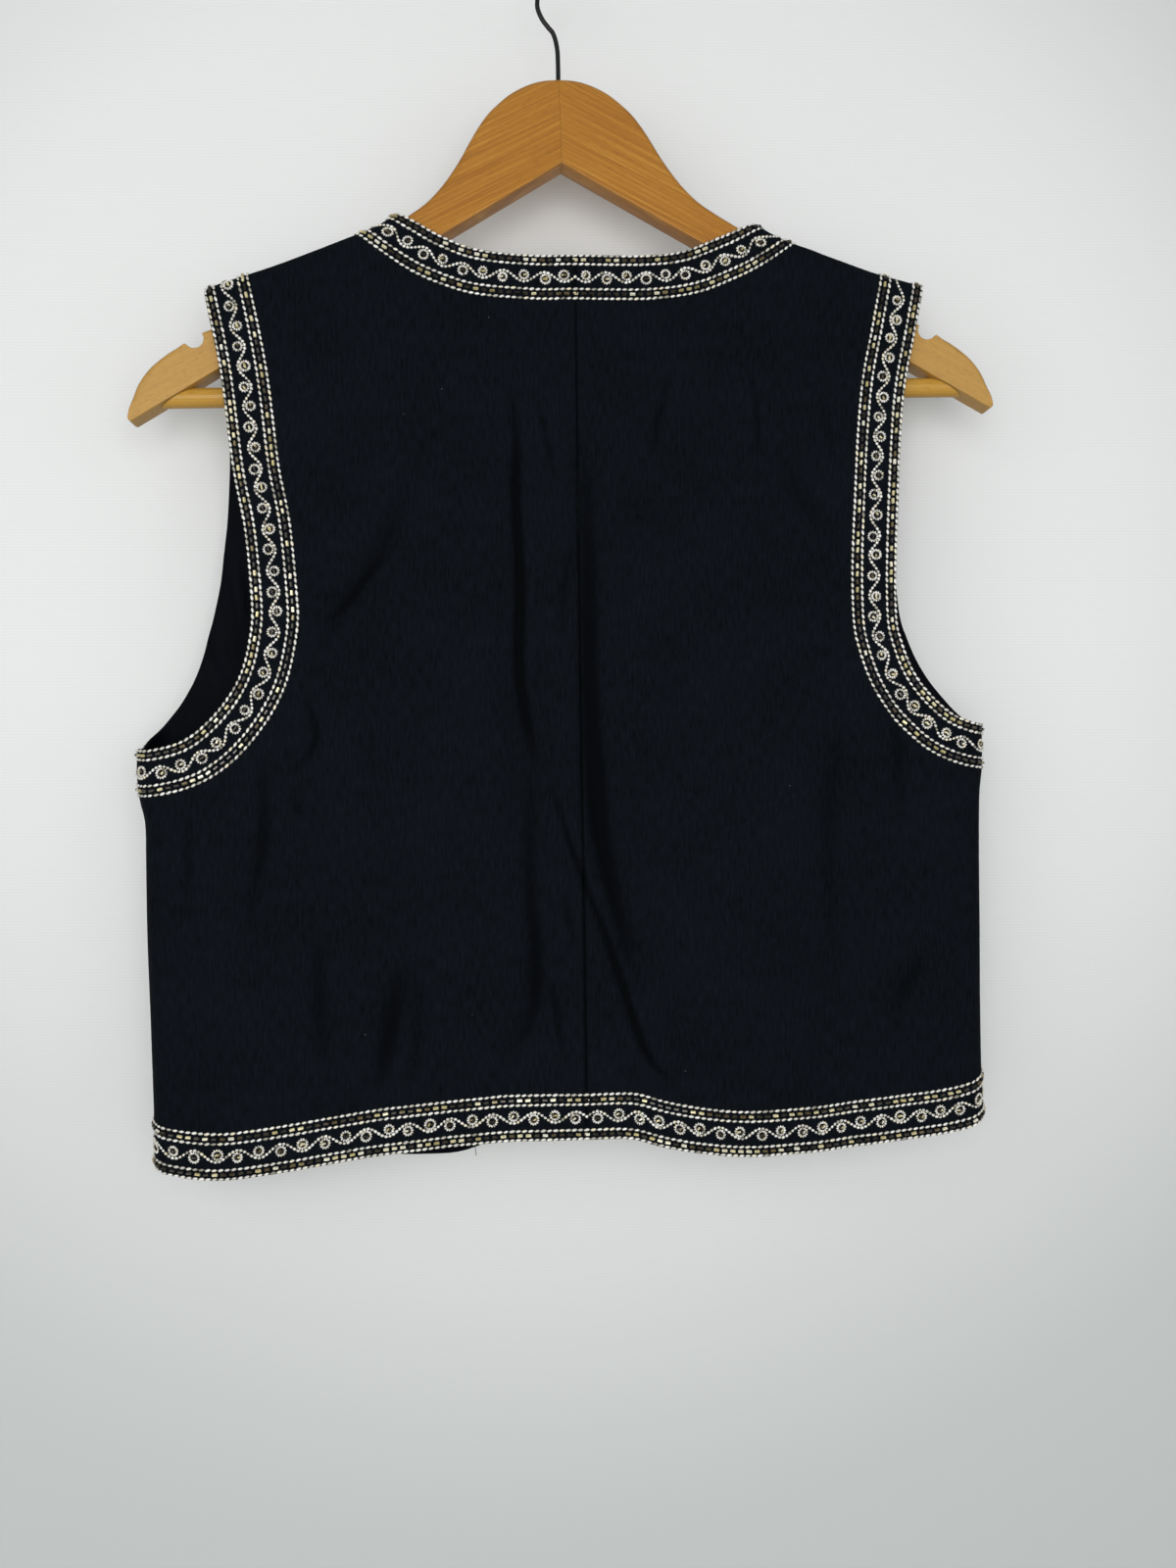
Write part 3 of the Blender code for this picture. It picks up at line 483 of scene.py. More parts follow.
def rippleHeight(face, x, z):  # the soft unevenness of cloth that has been worn and washed
    total = np.zeros_like(x)
    for number, (wide, tall, height) in enumerate(rippleTable):
        cells = np.random.default_rng(rippleSeed[face] + number).normal(size=rippleCells)
        u = np.clip(x / wide + rippleCells[0] / 2, 0, rippleCells[0] - 1.01)
        v = np.clip(-z / tall + 1, 0, rippleCells[1] - 1.01)
        i, j = u.astype(int), v.astype(int)
        s, t = u - i, v - j
        s, t = s * s * (3 - 2 * s), t * t * (3 - 2 * t)
        total += height * ((cells[i, j] * (1 - s) + cells[i + 1, j] * s) * (1 - t)
                           + (cells[i, j + 1] * (1 - s) + cells[i + 1, j + 1] * s) * t)
    return total


def hollows(side, face, flat):  # depths of folds and creases, less where the cloth lies on the hanger
    out, z = flat[..., 0], flat[..., 1]
    x = sideSign[side] * out
    loose = np.clip((vest["foldsStart"] - z) / (vest["foldsStart"] - vest["foldsFull"]), 0, 1)
    held = vest["creaseHeld"]
    return loose * foldDepth(foldTable[face], x, z), (held + (1 - held) * loose) * creaseDepth(face, x, z)


def clothPlace(side, face, flat):  # points of the outer cloth over flat (out, height) points
    out, z = flat[..., 0], flat[..., 1]
    x = sideSign[side] * out
    heights, depths = np.array(depthTable).T
    depth = np.interp(z, heights, depths)
    depth = depth - sum(hollows(side, face, flat)) - rippleHeight(face, x, z)
    depth = depth * turnedIn(np.maximum(sideOut(side, z) - out, 0), vest["sideRound"])
    fall = np.maximum(ridgeZ(side, out) - z, 0) * math.cos(vest["ridgeSlope"])
    depth = np.maximum(depth * turnedIn(fall, vest["ridgeRound"]) - vest["seamRoll"], vest["seamRoll"])
    return np.stack([x, facing[face] * depth, z], axis=-1)


def clothNormal(side, face, flat, step=0.05 * mm):
    across = clothPlace(side, face, flat + (step, 0)) - clothPlace(side, face, flat - (step, 0))
    upwards = clothPlace(side, face, flat + (0, step)) - clothPlace(side, face, flat - (0, step))
    normal = np.cross(across, upwards)
    normal *= np.sign(normal[..., 1:2] * facing[face] + 1e-12)
    return normal / np.linalg.norm(normal, axis=-1, keepdims=True)


def innerLine(line, lengths, startWay, endWay):  # the band's inner edge, along the seams at its two ends
    ways = np.gradient(line, axis=0)
    ways /= np.linalg.norm(ways, axis=1)[:, None]
    square = np.stack([ways[:, 1], -ways[:, 0]], axis=1)
    if square[0] @ np.array(startWay) < 0:
        square = -square
    at = alongLine(line)
    for way, distance in ((startWay, at), (endWay, at[-1] - at)):
        share = np.clip(1 - distance / vest["bandWidth"], 0, 1)[:, None]
        square = square * (1 - share) + np.array(way) * share
    square /= np.linalg.norm(square, axis=1)[:, None]
    inner = line + square * vest["bandWidth"]
    return sampleLine(inner, lengths, at)


def ridgeWay(side, outward):
    line = ridgeCurve[side]
    end, length = (0, vest["bandWidth"]) if outward else (-1, alongLine(line)[-1] - vest["bandWidth"])
    way = sampleLine(line, [length])[0] - line[end]
    return way / np.linalg.norm(way)


def sideWay(side, top):
    way = np.array([sideOut(side, top[1] - vest["bandWidth"]) - top[0], -vest["bandWidth"]])
    return way / np.linalg.norm(way)


def middleHeights(low, high, count):  # closer together beside the underarm's fan
    below = np.linspace(low, fineness["underarmLow"], fineness["sideRows"] + 1)
    fan = np.linspace(fineness["underarmLow"], fineness["underarmHigh"], fineness["underarmRows"] + 1)
    left = count - fineness["sideRows"] - fineness["underarmRows"]
    above = np.linspace(fineness["underarmHigh"], high, left + 1)
    return np.concatenate([below, fan[1:], above[1:]])


def onRidge(side, points):
    points[:, 1] = ridgeZ(side, points[:, 0])
    return points


def onSide(side, points):
    points[:, 0] = sideOut(side, points[:, 1])
    return points


def bandGrid(edge, inner, side=None):  # from the rolled edge to the band's inner line
    roll = vest["freeRoll"] / vest["bandWidth"]
    t = np.linspace(roll, 1, fineness["bandColumns"] + 1)[None, :, None]
    grid = edge[:, None, :] * (1 - t) + inner[:, None, :] * t
    if side:
        up = np.linspace(0, 1, len(edge))[:, None, None]
        grid = grid + up * (onRidge(side, grid[-1].copy()) - grid[-1])
    return grid


def panelGrids(side, face):  # flat grids of one panel, and its bands' edge and inner lines
    rows = fineness["sideRows"] + fineness["armholeRows"]
    close = edgeSteps()
    armhole = smoothLine(armholeLine[face, side])
    hem = smoothLine(hemLine[face, side])
    armLengths = spacing(alongLine(armhole)[-1], fineness["armholeRows"], close, close)
    armEdge = sampleLine(armhole, armLengths)
    armInner = innerLine(armhole, armLengths, sideWay(side, armEdge[0]), ridgeWay(side, False))
    armInner[0, 0] = sideOut(side, armInner[0, 1])
    armEdge[-1:] = onRidge(side, armEdge[-1:])
    armInner[-1:] = onRidge(side, armInner[-1:])
    neck = smoothLine(neckLine[face, side])
    if face == "back":
        neckLengths = spacing(alongLine(neck)[-1], fineness["neckRows"], (), close)
        neckEdge = sampleLine(neck, neckLengths)
        neckInner = innerLine(neck, neckLengths, (0, -1), ridgeWay(side, True))
        middle = vest["centreBack"] * sideSign[side] + vest["backSeamRoll"]
        neckEdge[0, 0] = middle
        neckInner[0, 0] = middle
        low = np.interp(middle, hem[:, 0], hem[:, 1]) + vest["bandWidth"]
        heights = middleHeights(low, neckInner[0, 1], rows - fineness["neckRows"])
        inner = np.vstack([np.stack([np.full(len(heights), middle), heights], axis=1), neckInner[1:]])
    else:
        middle = vest["frontEdge"]
        low = np.interp(middle + vest["bandWidth"], hem[:, 0], hem[:, 1])
        upper = sampleLine(neck, spacing(alongLine(neck)[-1], fineness["frontNeckRows"], (), close))
        heights = middleHeights(low + vest["bandWidth"], upper[0, 1], rows - fineness["frontNeckRows"])
        corner = np.linspace(low, low + vest["bandWidth"], fineness["bandColumns"] + 1)[:-1]
        straight = np.concatenate([corner, heights])
        neckEdge = np.vstack([np.stack([np.full(len(straight), middle), straight], axis=1), upper[1:]])
        whole = np.vstack([neckEdge[:1], neck])
        neckInner = innerLine(whole, alongLine(neckEdge), (1, 0), ridgeWay(side, True))
        neckEdge[0, 1] = np.interp(middle, hem[:, 0], hem[:, 1])
        inner = neckInner[fineness["bandColumns"]:]
    neckEdge[-1:] = onRidge(side, neckEdge[-1:])
    neckInner[-1:] = onRidge(side, neckInner[-1:])
    inner[-1] = neckInner[-1]
    heights = np.linspace(hem[-1, 1] + vest["bandWidth"], armInner[0, 1], fineness["sideRows"] + 1)
    outer = np.vstack([np.stack([sideOut(side, heights), heights], axis=1), armInner[1:]])
    width = outer[0, 0] - inner[0, 0]
    outs = inner[0, 0] + spacing(width, fineness["columns"][face], (), close)
    share = (outs - outs[0]) / width
    hemOuts = outs[0] + share * (hem[-1, 0] - outs[0])
    hemEdge = np.stack([hemOuts, np.interp(hemOuts, hem[:, 0], hem[:, 1])], axis=1)
    hemInner = np.stack([outs, hemEdge[:, 1] + vest["bandWidth"]], axis=1)
    hemInner[-1] = outer[0]
    top = onRidge(side, inner[-1] + share[:, None] * (outer[-1] - inner[-1]))
    up = np.linspace(0, 1, rows + 1)[:, None, None]
    across = share[None, :, None]
    body = inner[:, None] * (1 - across) + outer[:, None] * across
    body = body + (1 - up) * (hemInner - body[0])[None] + up * (top - body[-1])[None]
    grids = {
        "body": body,
        "neck": bandGrid(neckEdge, neckInner, side),
        "armhole": bandGrid(armEdge, armInner, side),
        "hem": bandGrid(hemEdge, hemInner),
    }
    for points in (body[:fineness["sideRows"] + 1, -1], grids["armhole"][0], grids["hem"][-1]):
        onSide(side, points)
    if face == "front":  # the corner's lowest row follows the hem's roll
        grids["neck"][0, :, 1] += vest["freeRoll"]
        grids["hem"][0, :] = grids["neck"][:fineness["bandColumns"] + 1, -1]
        hemOuts = np.concatenate([np.linspace(middle, outs[0], fineness["cornerPoints"])[:-1], hemOuts])
        hemEdge = np.stack([hemOuts, np.interp(hemOuts, hem[:, 0], hem[:, 1])], axis=1)
        hemInner = hemEdge + (0, vest["bandWidth"])
    bands = {"neck": (neckEdge, neckInner), "armhole": (armEdge, armInner), "hem": (hemEdge, hemInner)}
    return grids, bands


def gridFaces(rows, columns, start):
    for i in range(rows - 1):
        for j in range(columns - 1):
            a = start + i * columns + j
            yield (a, a + 1, a + columns + 1, a + columns)


def addPiece(name, mesh, *finishes):
    piece = bpy.data.objects.new(name, mesh)
    for finish in finishes:
        mesh.materials.append(finish)
    bpy.context.scene.collection.objects.link(piece)
    return piece


def clothPanel(name, side, face, grids, cloth, lining):  # a closed shell with rolled edges
    places, faces, flats = [], [], []
    for flat in grids.values():
        faces += gridFaces(flat.shape[0], flat.shape[1], len(places))
        places += clothPlace(side, face, flat).reshape(-1, 3).tolist()
        flats += flat.reshape(-1, 2).tolist()
    mesh = bpy.data.meshes.new(name + "Face")
    mesh.from_pydata(places, [], faces)
    shown = mesh.attributes.new("flat", "FLOAT_VECTOR", "POINT")
    shown.data.foreach_set("vector", np.pad(np.array(flats), ((0, 0), (0, 1))).ravel())
    shaped = bmesh.new()
    shaped.from_mesh(mesh)
    bmesh.ops.remove_doubles(shaped, verts=shaped.verts, dist=fineness["merge"])
    bmesh.ops.recalc_face_normals(shaped, faces=shaped.faces)
    if sum(f.normal.y * f.calc_area() for f in shaped.faces) * facing[face] < 0:
        bmesh.ops.reverse_faces(shaped, faces=shaped.faces)
    shaped.to_mesh(mesh)
    shaped.free()
    count = len(mesh.vertices)
    outer = np.array([v.co[:] for v in mesh.vertices])
    normals = np.array([v.normal[:] for v in mesh.vertices])
    flat = np.array([d.vector[:2] for d in mesh.attributes["flat"].data])
    polygons = [tuple(p.vertices) for p in mesh.polygons]
    directed = {(p[k], p[(k + 1) % len(p)]) for p in polygons for k in range(len(p))}
    rim = [edge for edge in directed if edge[::-1] not in directed]
    rim.sort()
    away = np.zeros_like(outer)
    for a, b in rim:
        way = outer[b] - outer[a]
        way /= np.linalg.norm(way)
        away[a] += np.cross(way, normals[a])
        away[b] += np.cross(way, normals[b])
    rimPoints = sorted({a for edge in rim for a in edge})
    away[rimPoints] /= np.linalg.norm(away[rimPoints], axis=1)[:, None]
    atSeam = np.abs(outer[:, 1]) < 3 * vest["seamRoll"]
    if face == "back":
        atSeam |= np.abs(outer[:, 0] - vest["centreBack"]) < 2 * vest["seamRoll"]
    roll = np.where(atSeam, vest["seamRoll"], vest["freeRoll"])[:, None]
    middle = outer - normals * vest["wall"] / 2
    allPlaces = [outer]
    ringIndex = [{p: p for p in rimPoints}]
    total = count
    for step in range(1, fineness["rollSteps"]):
        angle = math.pi * step / fineness["rollSteps"]
        ring = middle + normals * math.cos(angle) * vest["wall"] / 2 + away * math.sin(angle) * roll
        allPlaces.append(ring[rimPoints])
        ringIndex.append({p: total + k for k, p in enumerate(rimPoints)})
        total += len(rimPoints)
    allPlaces.append(outer - normals * vest["wall"])
    ringIndex.append({p: total + p for p in rimPoints})
    rimFaces = [(near[b], near[a], far[a], far[b])
                for near, far in zip(ringIndex, ringIndex[1:]) for a, b in rim]
    insideFaces = [tuple(total + v for v in reversed(p)) for p in polygons]
    shell = bpy.data.meshes.new(name)
    shell.from_pydata(np.vstack(allPlaces).tolist(), [], [*polygons, *rimFaces, *insideFaces])
    allFlats = np.vstack([flat, *[flat[rimPoints]] * (fineness["rollSteps"] - 1), flat])
    folds, creases = hollows(side, face, allFlats)
    # painted shade: how deep a point lies in its folds and creases sets how dark its colour is
    hollow = np.clip(folds / vest["foldFullShadeDepth"] + creases / vest["creaseFullShadeDepth"], 0, 1)
    # painted shade along the centre-back seam, darkest on its line
    if face == "back":
        fromSeam = (sideSign[side] * allFlats[:, 0] - vest["centreBack"]) / vest["seamPaintedShadeWidth"]
        hollow = np.maximum(hollow, vest["seamPaintedShade"] * np.exp(-fromSeam ** 2))
    shell.attributes.new("hollow", "FLOAT", "POINT").data.foreach_set("value", hollow)
    allFlats[:, 0] *= sideSign[side]
    corner = np.array([loop.vertex_index for loop in shell.loops])
    shell.uv_layers.new(name="weave").data.foreach_set("uv", allFlats[corner].ravel())
    shell.shade_smooth()
    piece = addPiece(name, shell, cloth, lining)
    inside = np.zeros(len(shell.polygons), int)
    inside[len(polygons) + len(rimFaces):] = 1
    shell.polygons.foreach_set("material_index", inside)
    area = sum(p.area for p in mesh.polygons)
    bpy.data.meshes.remove(mesh)
    return piece, area


cloth = makeCloth(clothFinish)
lining = makeLining()
silverThread = makeSilverThread()
bugleGlass = makeBugleGlass()

bandLines = {}
for face in facing:
    for side in sideSign:
        grids, bands = panelGrids(side, face)
        name = f"{face}Panel{side.capitalize()}"
        piece, area = clothPanel(name, side, face, grids, cloth, lining)
        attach(piece, "root")
        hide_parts(f"{face}_{side}")
        bandLines[face, side] = bands
        print(name, len(piece.data.polygons), "faces,", round(area * 1e4), "cm2")

# The beadwork: straight rows, then a scroll with rings between them. Distances are from the cloth's edge.
beadwork = {
    "silverRows": (0.9 * mm, 5.3 * mm, 18.1 * mm, 22.9 * mm),
    "bugleRows": (3.1 * mm, 20.5 * mm),
    "scrollMiddle": 11.9 * mm,
    "scrollHeight": 2.6 * mm,
    "scrollLength": 20.8 * mm,
    "ringOffset": 0.9 * mm,
    "ringRadius": 2.2 * mm,
    "ringDrift": 0.7 * mm,
    "ringSizes": (0.92, 1.08),  # of the radius
    "ringStretch": (0.95, 1.05),  # along the band
    "ringPoints": 24,
    "seed": 40,
    "endGap": 3.2 * mm,  # no ring is nearer to a seam
    "lineStep": 0.5 * mm,
}
stitchSizes = {  # pitch, length, width, height, size jitter, slant and its jitter in degrees, lift
    "row": (3.1 * mm, 2.6 * mm, 1.45 * mm, 1.05 * mm, 0.10, 13, 7, 0.30 * mm),
    "scroll": (1.95 * mm, 1.75 * mm, 1.5 * mm, 1.05 * mm, 0.12, 14, 14, 0.30 * mm),
    "ring": (1.15 * mm, 1.0 * mm, 1.55 * mm, 1.05 * mm, 0.10, 10, 12, 0.30 * mm),
    "bugle": (4.1 * mm, 2.6 * mm, 1.55 * mm, 1.5 * mm, 0.06, 0, 7, 0.55 * mm),
    "ringBead": (50 * mm, 1.7 * mm, 1.05 * mm, 1.2 * mm, 0.06, 25, 40, 0.55 * mm),
}
thread = {"radius": 0.15 * mm, "sides": 4, "step": 3.1 * mm, "lift": 0.10 * mm}


def stitchShape():  # one plump stitch, a unit long, its ends along X
    mesh = bpy.data.meshes.new("stitchShape")
    shaped = bmesh.new()
    bmesh.ops.create_uvsphere(shaped, u_segments=6, v_segments=5, radius=0.5)
    bmesh.ops.rotate(shaped, verts=shaped.verts, matrix=Matrix.Rotation(math.radians(90), 3, "Y"))
    shaped.to_mesh(mesh)
    shaped.free()
    mesh.shade_smooth()
    return addPiece("stitchShape", mesh)


bugleShape = ((-0.42, 0.18), (-0.50, 0.27), (-0.50, 0.40), (-0.44, 0.50), (0.44, 0.50), (0.50, 0.40),
              (0.50, 0.27), (0.42, 0.18))  # along and out, a unit long and a unit across
bugleSides = 6


def bugleBead():  # a hex-cut bead, its hole a shallow dimple at each end
    shaped = bmesh.new()
    rings = []
    for along, radius in bugleShape:
        rings.append([shaped.verts.new((along, radius * math.cos(math.tau * k / bugleSides),
                                        radius * math.sin(math.tau * k / bugleSides)))
                      for k in range(bugleSides)])
    for near, far in zip(rings, rings[1:]):
        for k in range(bugleSides):
            shaped.faces.new((near[k], near[k - 1], far[k - 1], far[k]))
    shaped.faces.new(rings[0])
    shaped.faces.new(rings[-1][::-1])
    bmesh.ops.recalc_face_normals(shaped, faces=shaped.faces)
    mesh = bpy.data.meshes.new("bugleShape")
    shaped.to_mesh(mesh)
    shaped.free()
    return addPiece("bugleShape", mesh)


def newTree(name, **inputs):  # the labels of each kind of socket
    tree = bpy.data.node_groups.new(name, "GeometryNodeTree")
    tree.interface.new_socket("Geometry", in_out="OUTPUT", socket_type="NodeSocketGeometry")
    for kind, labels in inputs.items():
        for label in labels:
            tree.interface.new_socket(label, in_out="INPUT", socket_type=f"NodeSocket{kind}")
    return tree, addNode(tree, "NodeGroupInput").outputs


def raisedLines(tree, given, pitch):  # the lines, cut at each pitch and lifted off the cloth
    curve = addNode(tree, "GeometryNodeMeshToCurve", {"Mesh": given["Lines"]})
    spaced = addNode(tree, "GeometryNodeResampleCurve", {
        "Curve": curve.outputs[0], "Length": pitch}, mode="LENGTH")
    normal = addNode(tree, "GeometryNodeInputNamedAttribute", {
        "Name": "clothNormal"}, data_type="FLOAT_VECTOR")
    rise = addNode(tree, "ShaderNodeVectorMath", {
        0: normal.outputs[0], "Scale": given["Lift"]}, operation="SCALE")
    raised = addNode(tree, "GeometryNodeSetPosition", {
        "Geometry": spaced.outputs[0], "Offset": rise.outputs[0]})
    return raised.outputs[0], normal.outputs[0]


def plainMesh(tree, given, geometry):  # out of the tree as real geometry in its finish
    real = addNode(tree, "GeometryNodeRealizeInstances", {"Geometry": geometry})
    finished = addNode(tree, "GeometryNodeSetMaterial", {
        "Geometry": real.outputs[0], "Material": given["Finish"]})
    addNode(tree, "NodeGroupOutput", {"Geometry": finished.outputs[0]})
    return tree


def stitchTree():  # lays a stitch or bead at each pitch along the lines, flat on the cloth
    tree, given = newTree(
        "stitchesOnLines", Geometry=["Lines"], Object=["Shape"], Int=["Seed"], Material=["Finish"],
        Float=["Pitch", "Length", "Width", "Height", "Size Jitter", "Slant", "Slant Jitter", "Lift"])
    places, normal = raisedLines(tree, given, given["Pitch"])
    way = addNode(tree, "GeometryNodeInputTangent")
    laid = addNode(tree, "FunctionNodeAxesToRotation", {
        "Primary Axis": way.outputs[0], "Secondary Axis": normal}, primary_axis="X", secondary_axis="Z")
    lowTurn = addNode(tree, "ShaderNodeMath", {
        0: given["Slant"], 1: given["Slant Jitter"]}, operation="SUBTRACT")
    highTurn = addNode(tree, "ShaderNodeMath", {
        0: given["Slant"], 1: given["Slant Jitter"]}, operation="ADD")
    turn = addNode(tree, "FunctionNodeRandomValue", {
        2: lowTurn.outputs[0], 3: highTurn.outputs[0], "Seed": given["Seed"]}, data_type="FLOAT")
    turnAxis = addNode(tree, "ShaderNodeCombineXYZ", {"Z": turn.outputs[1]})
    turnBy = addNode(tree, "FunctionNodeEulerToRotation", {0: turnAxis.outputs[0]})
    turned = addNode(tree, "FunctionNodeRotateRotation", {
        "Rotation": laid.outputs[0], "Rotate By": turnBy.outputs[0]}, rotation_space="LOCAL")
    lowSize = addNode(tree, "ShaderNodeMath", {0: 1.0, 1: given["Size Jitter"]}, operation="SUBTRACT")
    highSize = addNode(tree, "ShaderNodeMath", {0: 1.0, 1: given["Size Jitter"]}, operation="ADD")
    sizeSeed = addNode(tree, "ShaderNodeMath", {0: given["Seed"], 1: 1.0}, operation="ADD")
    grow = addNode(tree, "FunctionNodeRandomValue", {
        2: lowSize.outputs[0], 3: highSize.outputs[0], "Seed": sizeSeed.outputs[0]}, data_type="FLOAT")
    size = addNode(tree, "ShaderNodeCombineXYZ", {
        "X": given["Length"], "Y": given["Width"], "Z": given["Height"]})
    grown = addNode(tree, "ShaderNodeVectorMath", {
        0: size.outputs[0], "Scale": grow.outputs[1]}, operation="SCALE")
    shape = addNode(tree, "GeometryNodeObjectInfo", {"Object": given["Shape"]})
    placed = addNode(tree, "GeometryNodeInstanceOnPoints", {
        "Points": places, "Instance": shape.outputs["Geometry"], "Rotation": turned.outputs[0],
        "Scale": grown.outputs[0]})
    toneSeed = addNode(tree, "ShaderNodeMath", {0: given["Seed"], 1: 2.0}, operation="ADD")
    tone = addNode(tree, "FunctionNodeRandomValue", {"Seed": toneSeed.outputs[0]}, data_type="FLOAT")
    toned = addNode(tree, "GeometryNodeStoreNamedAttribute", {
        "Geometry": placed.outputs[0], "Name": "stitchTone", "Value": tone.outputs[1]},
        data_type="FLOAT", domain="INSTANCE")
    return plainMesh(tree, given, toned.outputs[0])


def threadTree():  # the thin thread that runs from stitch to stitch
    tree, given = newTree("laidThread", Geometry=["Lines"], Float=["Step", "Radius", "Lift"],
                          Int=["Sides"], Material=["Finish"])
    places = raisedLines(tree, given, given["Step"])[0]
    ring = addNode(tree, "GeometryNodeCurvePrimitiveCircle", {
        "Resolution": given["Sides"], "Radius": given["Radius"]})
    tube = addNode(tree, "GeometryNodeCurveToMesh", {
        "Curve": places, "Profile Curve": ring.outputs[0], "Fill Caps": True})
    toned = addNode(tree, "GeometryNodeStoreNamedAttribute", {
        "Geometry": tube.outputs[0], "Name": "stitchTone", "Value": 0.0}, data_type="FLOAT", domain="POINT")
    return plainMesh(tree, given, toned.outputs[0])


def runTree(tree, name, lines, values):  # returns a plain mesh object
    source = lineObject(name, lines)
    modifier = source.modifiers.new("nodes", "NODES")
    modifier.node_group = tree
    for item in tree.interface.items_tree:
        if item.in_out == "INPUT" and item.name in values:
            modifier[item.identifier] = values[item.name]
    graph = bpy.context.evaluated_depsgraph_get()
    mesh = bpy.data.meshes.new_from_object(source.evaluated_get(graph), preserve_all_data_layers=True,
                                           depsgraph=graph)
    bpy.data.objects.remove(source)
    made = bpy.data.objects.new(name, mesh)
    bpy.context.scene.collection.objects.link(made)
    return made


def lineObject(name, lines):  # lines: (places, normals, closed)
    places, normals, edges = [], [], []
    for line, square, closed in lines:
        start = len(places)
        places += line.tolist()
        normals += square.tolist()
        edges += [(start + k, start + k + 1) for k in range(len(line) - 1)]
        if closed:
            edges.append((start + len(line) - 1, start))
    mesh = bpy.data.meshes.new(name)
    mesh.from_pydata(places, edges, [])
    mesh.attributes.new("clothNormal", "FLOAT_VECTOR", "POINT").data.foreach_set(
        "vector", np.array(normals).ravel())
    return addPiece(name, mesh)


def bandFlat(lines, lengths, distances):  # flat points at lengths along a band's middle and distances in
    edge, inner = lines
    at = alongLine((edge + inner) / 2)
    share = (distances / vest["bandWidth"])[:, None]
    return sampleLine(edge, lengths, at) * (1 - share) + sampleLine(inner, lengths, at) * share


def keptInMitre(face, side, band, flat, distances):  # rows turn the front corner with a mitre
    if face == "back" or band == "armhole":
        return np.ones(len(flat), bool)
    if band == "hem":
        return flat[:, 0] - vest["frontEdge"] >= distances
    hem = smoothLine(hemLine[face, side])
    return flat[:, 1] - np.interp(flat[:, 0], hem[:, 0], hem[:, 1]) >= distances


def bandLength(lines):
    return alongLine((lines[0] + lines[1]) / 2)[-1]


def onCloth(face, side, flat, closed=False):
    return clothPlace(side, face, flat), clothNormal(side, face, flat), closed


def bandRow(face, side, band, distance):
    lines = bandLines[face, side][band]
    total = bandLength(lines)
    straight = np.linspace(0, total, int(total / beadwork["lineStep"]))
    close = np.array(edgeSteps())
    lengths = np.unique(np.concatenate([straight, close, total - close]))
    distances = distance(lengths) if callable(distance) else np.full(len(lengths), distance)
    flat = bandFlat(lines, lengths, distances)
    return onCloth(face, side, flat[keptInMitre(face, side, band, flat, distances)])


def bandRings(face, side, band, draw):
    lines = bandLines[face, side][band]
    total = bandLength(lines)
    angles = np.linspace(0, math.tau, beadwork["ringPoints"] + 1)[:-1]
    rings, hearts = [], []
    half = beadwork["scrollLength"] / 2
    for k in range(int(total / half) + 1):
        centre = (k + 0.5) * half + draw.uniform(-1, 1) * beadwork["ringDrift"]
        inside = -1 if k % 2 else 1  # the ring hangs inside the scroll's crest
        away = beadwork["scrollMiddle"] - inside * beadwork["ringOffset"]
        if not beadwork["endGap"] < centre < total - beadwork["endGap"]:
            continue
        radius = beadwork["ringRadius"] * draw.uniform(*beadwork["ringSizes"])
        lengths = centre + radius * np.cos(angles) * draw.uniform(*beadwork["ringStretch"])
        distances = away + radius * np.sin(angles)
        flat = bandFlat(lines, lengths, distances)
        if not keptInMitre(face, side, band, flat, distances).all():
            continue
        rings.append(onCloth(face, side, flat, closed=True))
        heart = bandFlat(lines, centre + np.array((-0.5, 0.5)) * mm, np.array((away, away)))
        hearts.append(onCloth(face, side, heart))
    return rings, hearts


def scrollDistance(lengths):
    wave = np.sin(math.tau * lengths / beadwork["scrollLength"])
    return beadwork["scrollMiddle"] + beadwork["scrollHeight"] * wave


def stitchValues(kind, shape, finish, seed):
    pitch, length, width, height, sizeJitter, slant, slantJitter, lift = stitchSizes[kind]
    return {"Shape": shape, "Pitch": pitch, "Length": length, "Width": width, "Height": height,
            "Size Jitter": sizeJitter, "Slant": math.radians(slant),
            "Slant Jitter": math.radians(slantJitter), "Lift": lift, "Seed": seed, "Finish": finish}


stitch = stitchShape()
bugle = bugleBead()
stitches = stitchTree()
threads = threadTree()
stretches = [(face, side, band) for face in facing for side in sideSign
             for band in ("neck", "armhole", "hem")]
for number, (face, side, band) in enumerate(stretches):
    draw = np.random.default_rng(beadwork["seed"] + number)
    silverRows = [bandRow(face, side, band, d) for d in beadwork["silverRows"]]
    bugleRows = [bandRow(face, side, band, d) for d in beadwork["bugleRows"]]
    scroll = [bandRow(face, side, band, scrollDistance)]
    rings, hearts = bandRings(face, side, band, draw)
    seed = 10 * number
    made = [
        runTree(stitches, "rows", silverRows, stitchValues("row", stitch, silverThread, seed)),
        runTree(stitches, "scroll", scroll, stitchValues("scroll", stitch, silverThread, seed + 3)),
        runTree(stitches, "rings", rings, stitchValues("ring", stitch, silverThread, seed + 5)),
        runTree(stitches, "bugles", bugleRows, stitchValues("bugle", bugle, bugleGlass, seed + 6)),
        runTree(stitches, "hearts", hearts, stitchValues("ringBead", bugle, bugleGlass, seed + 8)),
        runTree(threads, "threads", silverRows + scroll, {
            "Step": thread["step"], "Radius": thread["radius"], "Sides": thread["sides"],
            "Lift": thread["lift"], "Finish": silverThread}),
    ]
    with bpy.context.temp_override(active_object=made[0], selected_editable_objects=made):
        bpy.ops.object.join()
    piece = made[0]
    piece.name = f"beadwork{band.capitalize()}{face.capitalize()}{side.capitalize()}"
    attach(piece, "root")
    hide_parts(f"{band}_{face}_{side}")
    print(piece.name, sum(len(p.vertices) - 2 for p in piece.data.polygons), "triangles")
for shape in (stitch, bugle):
    bpy.data.objects.remove(shape)

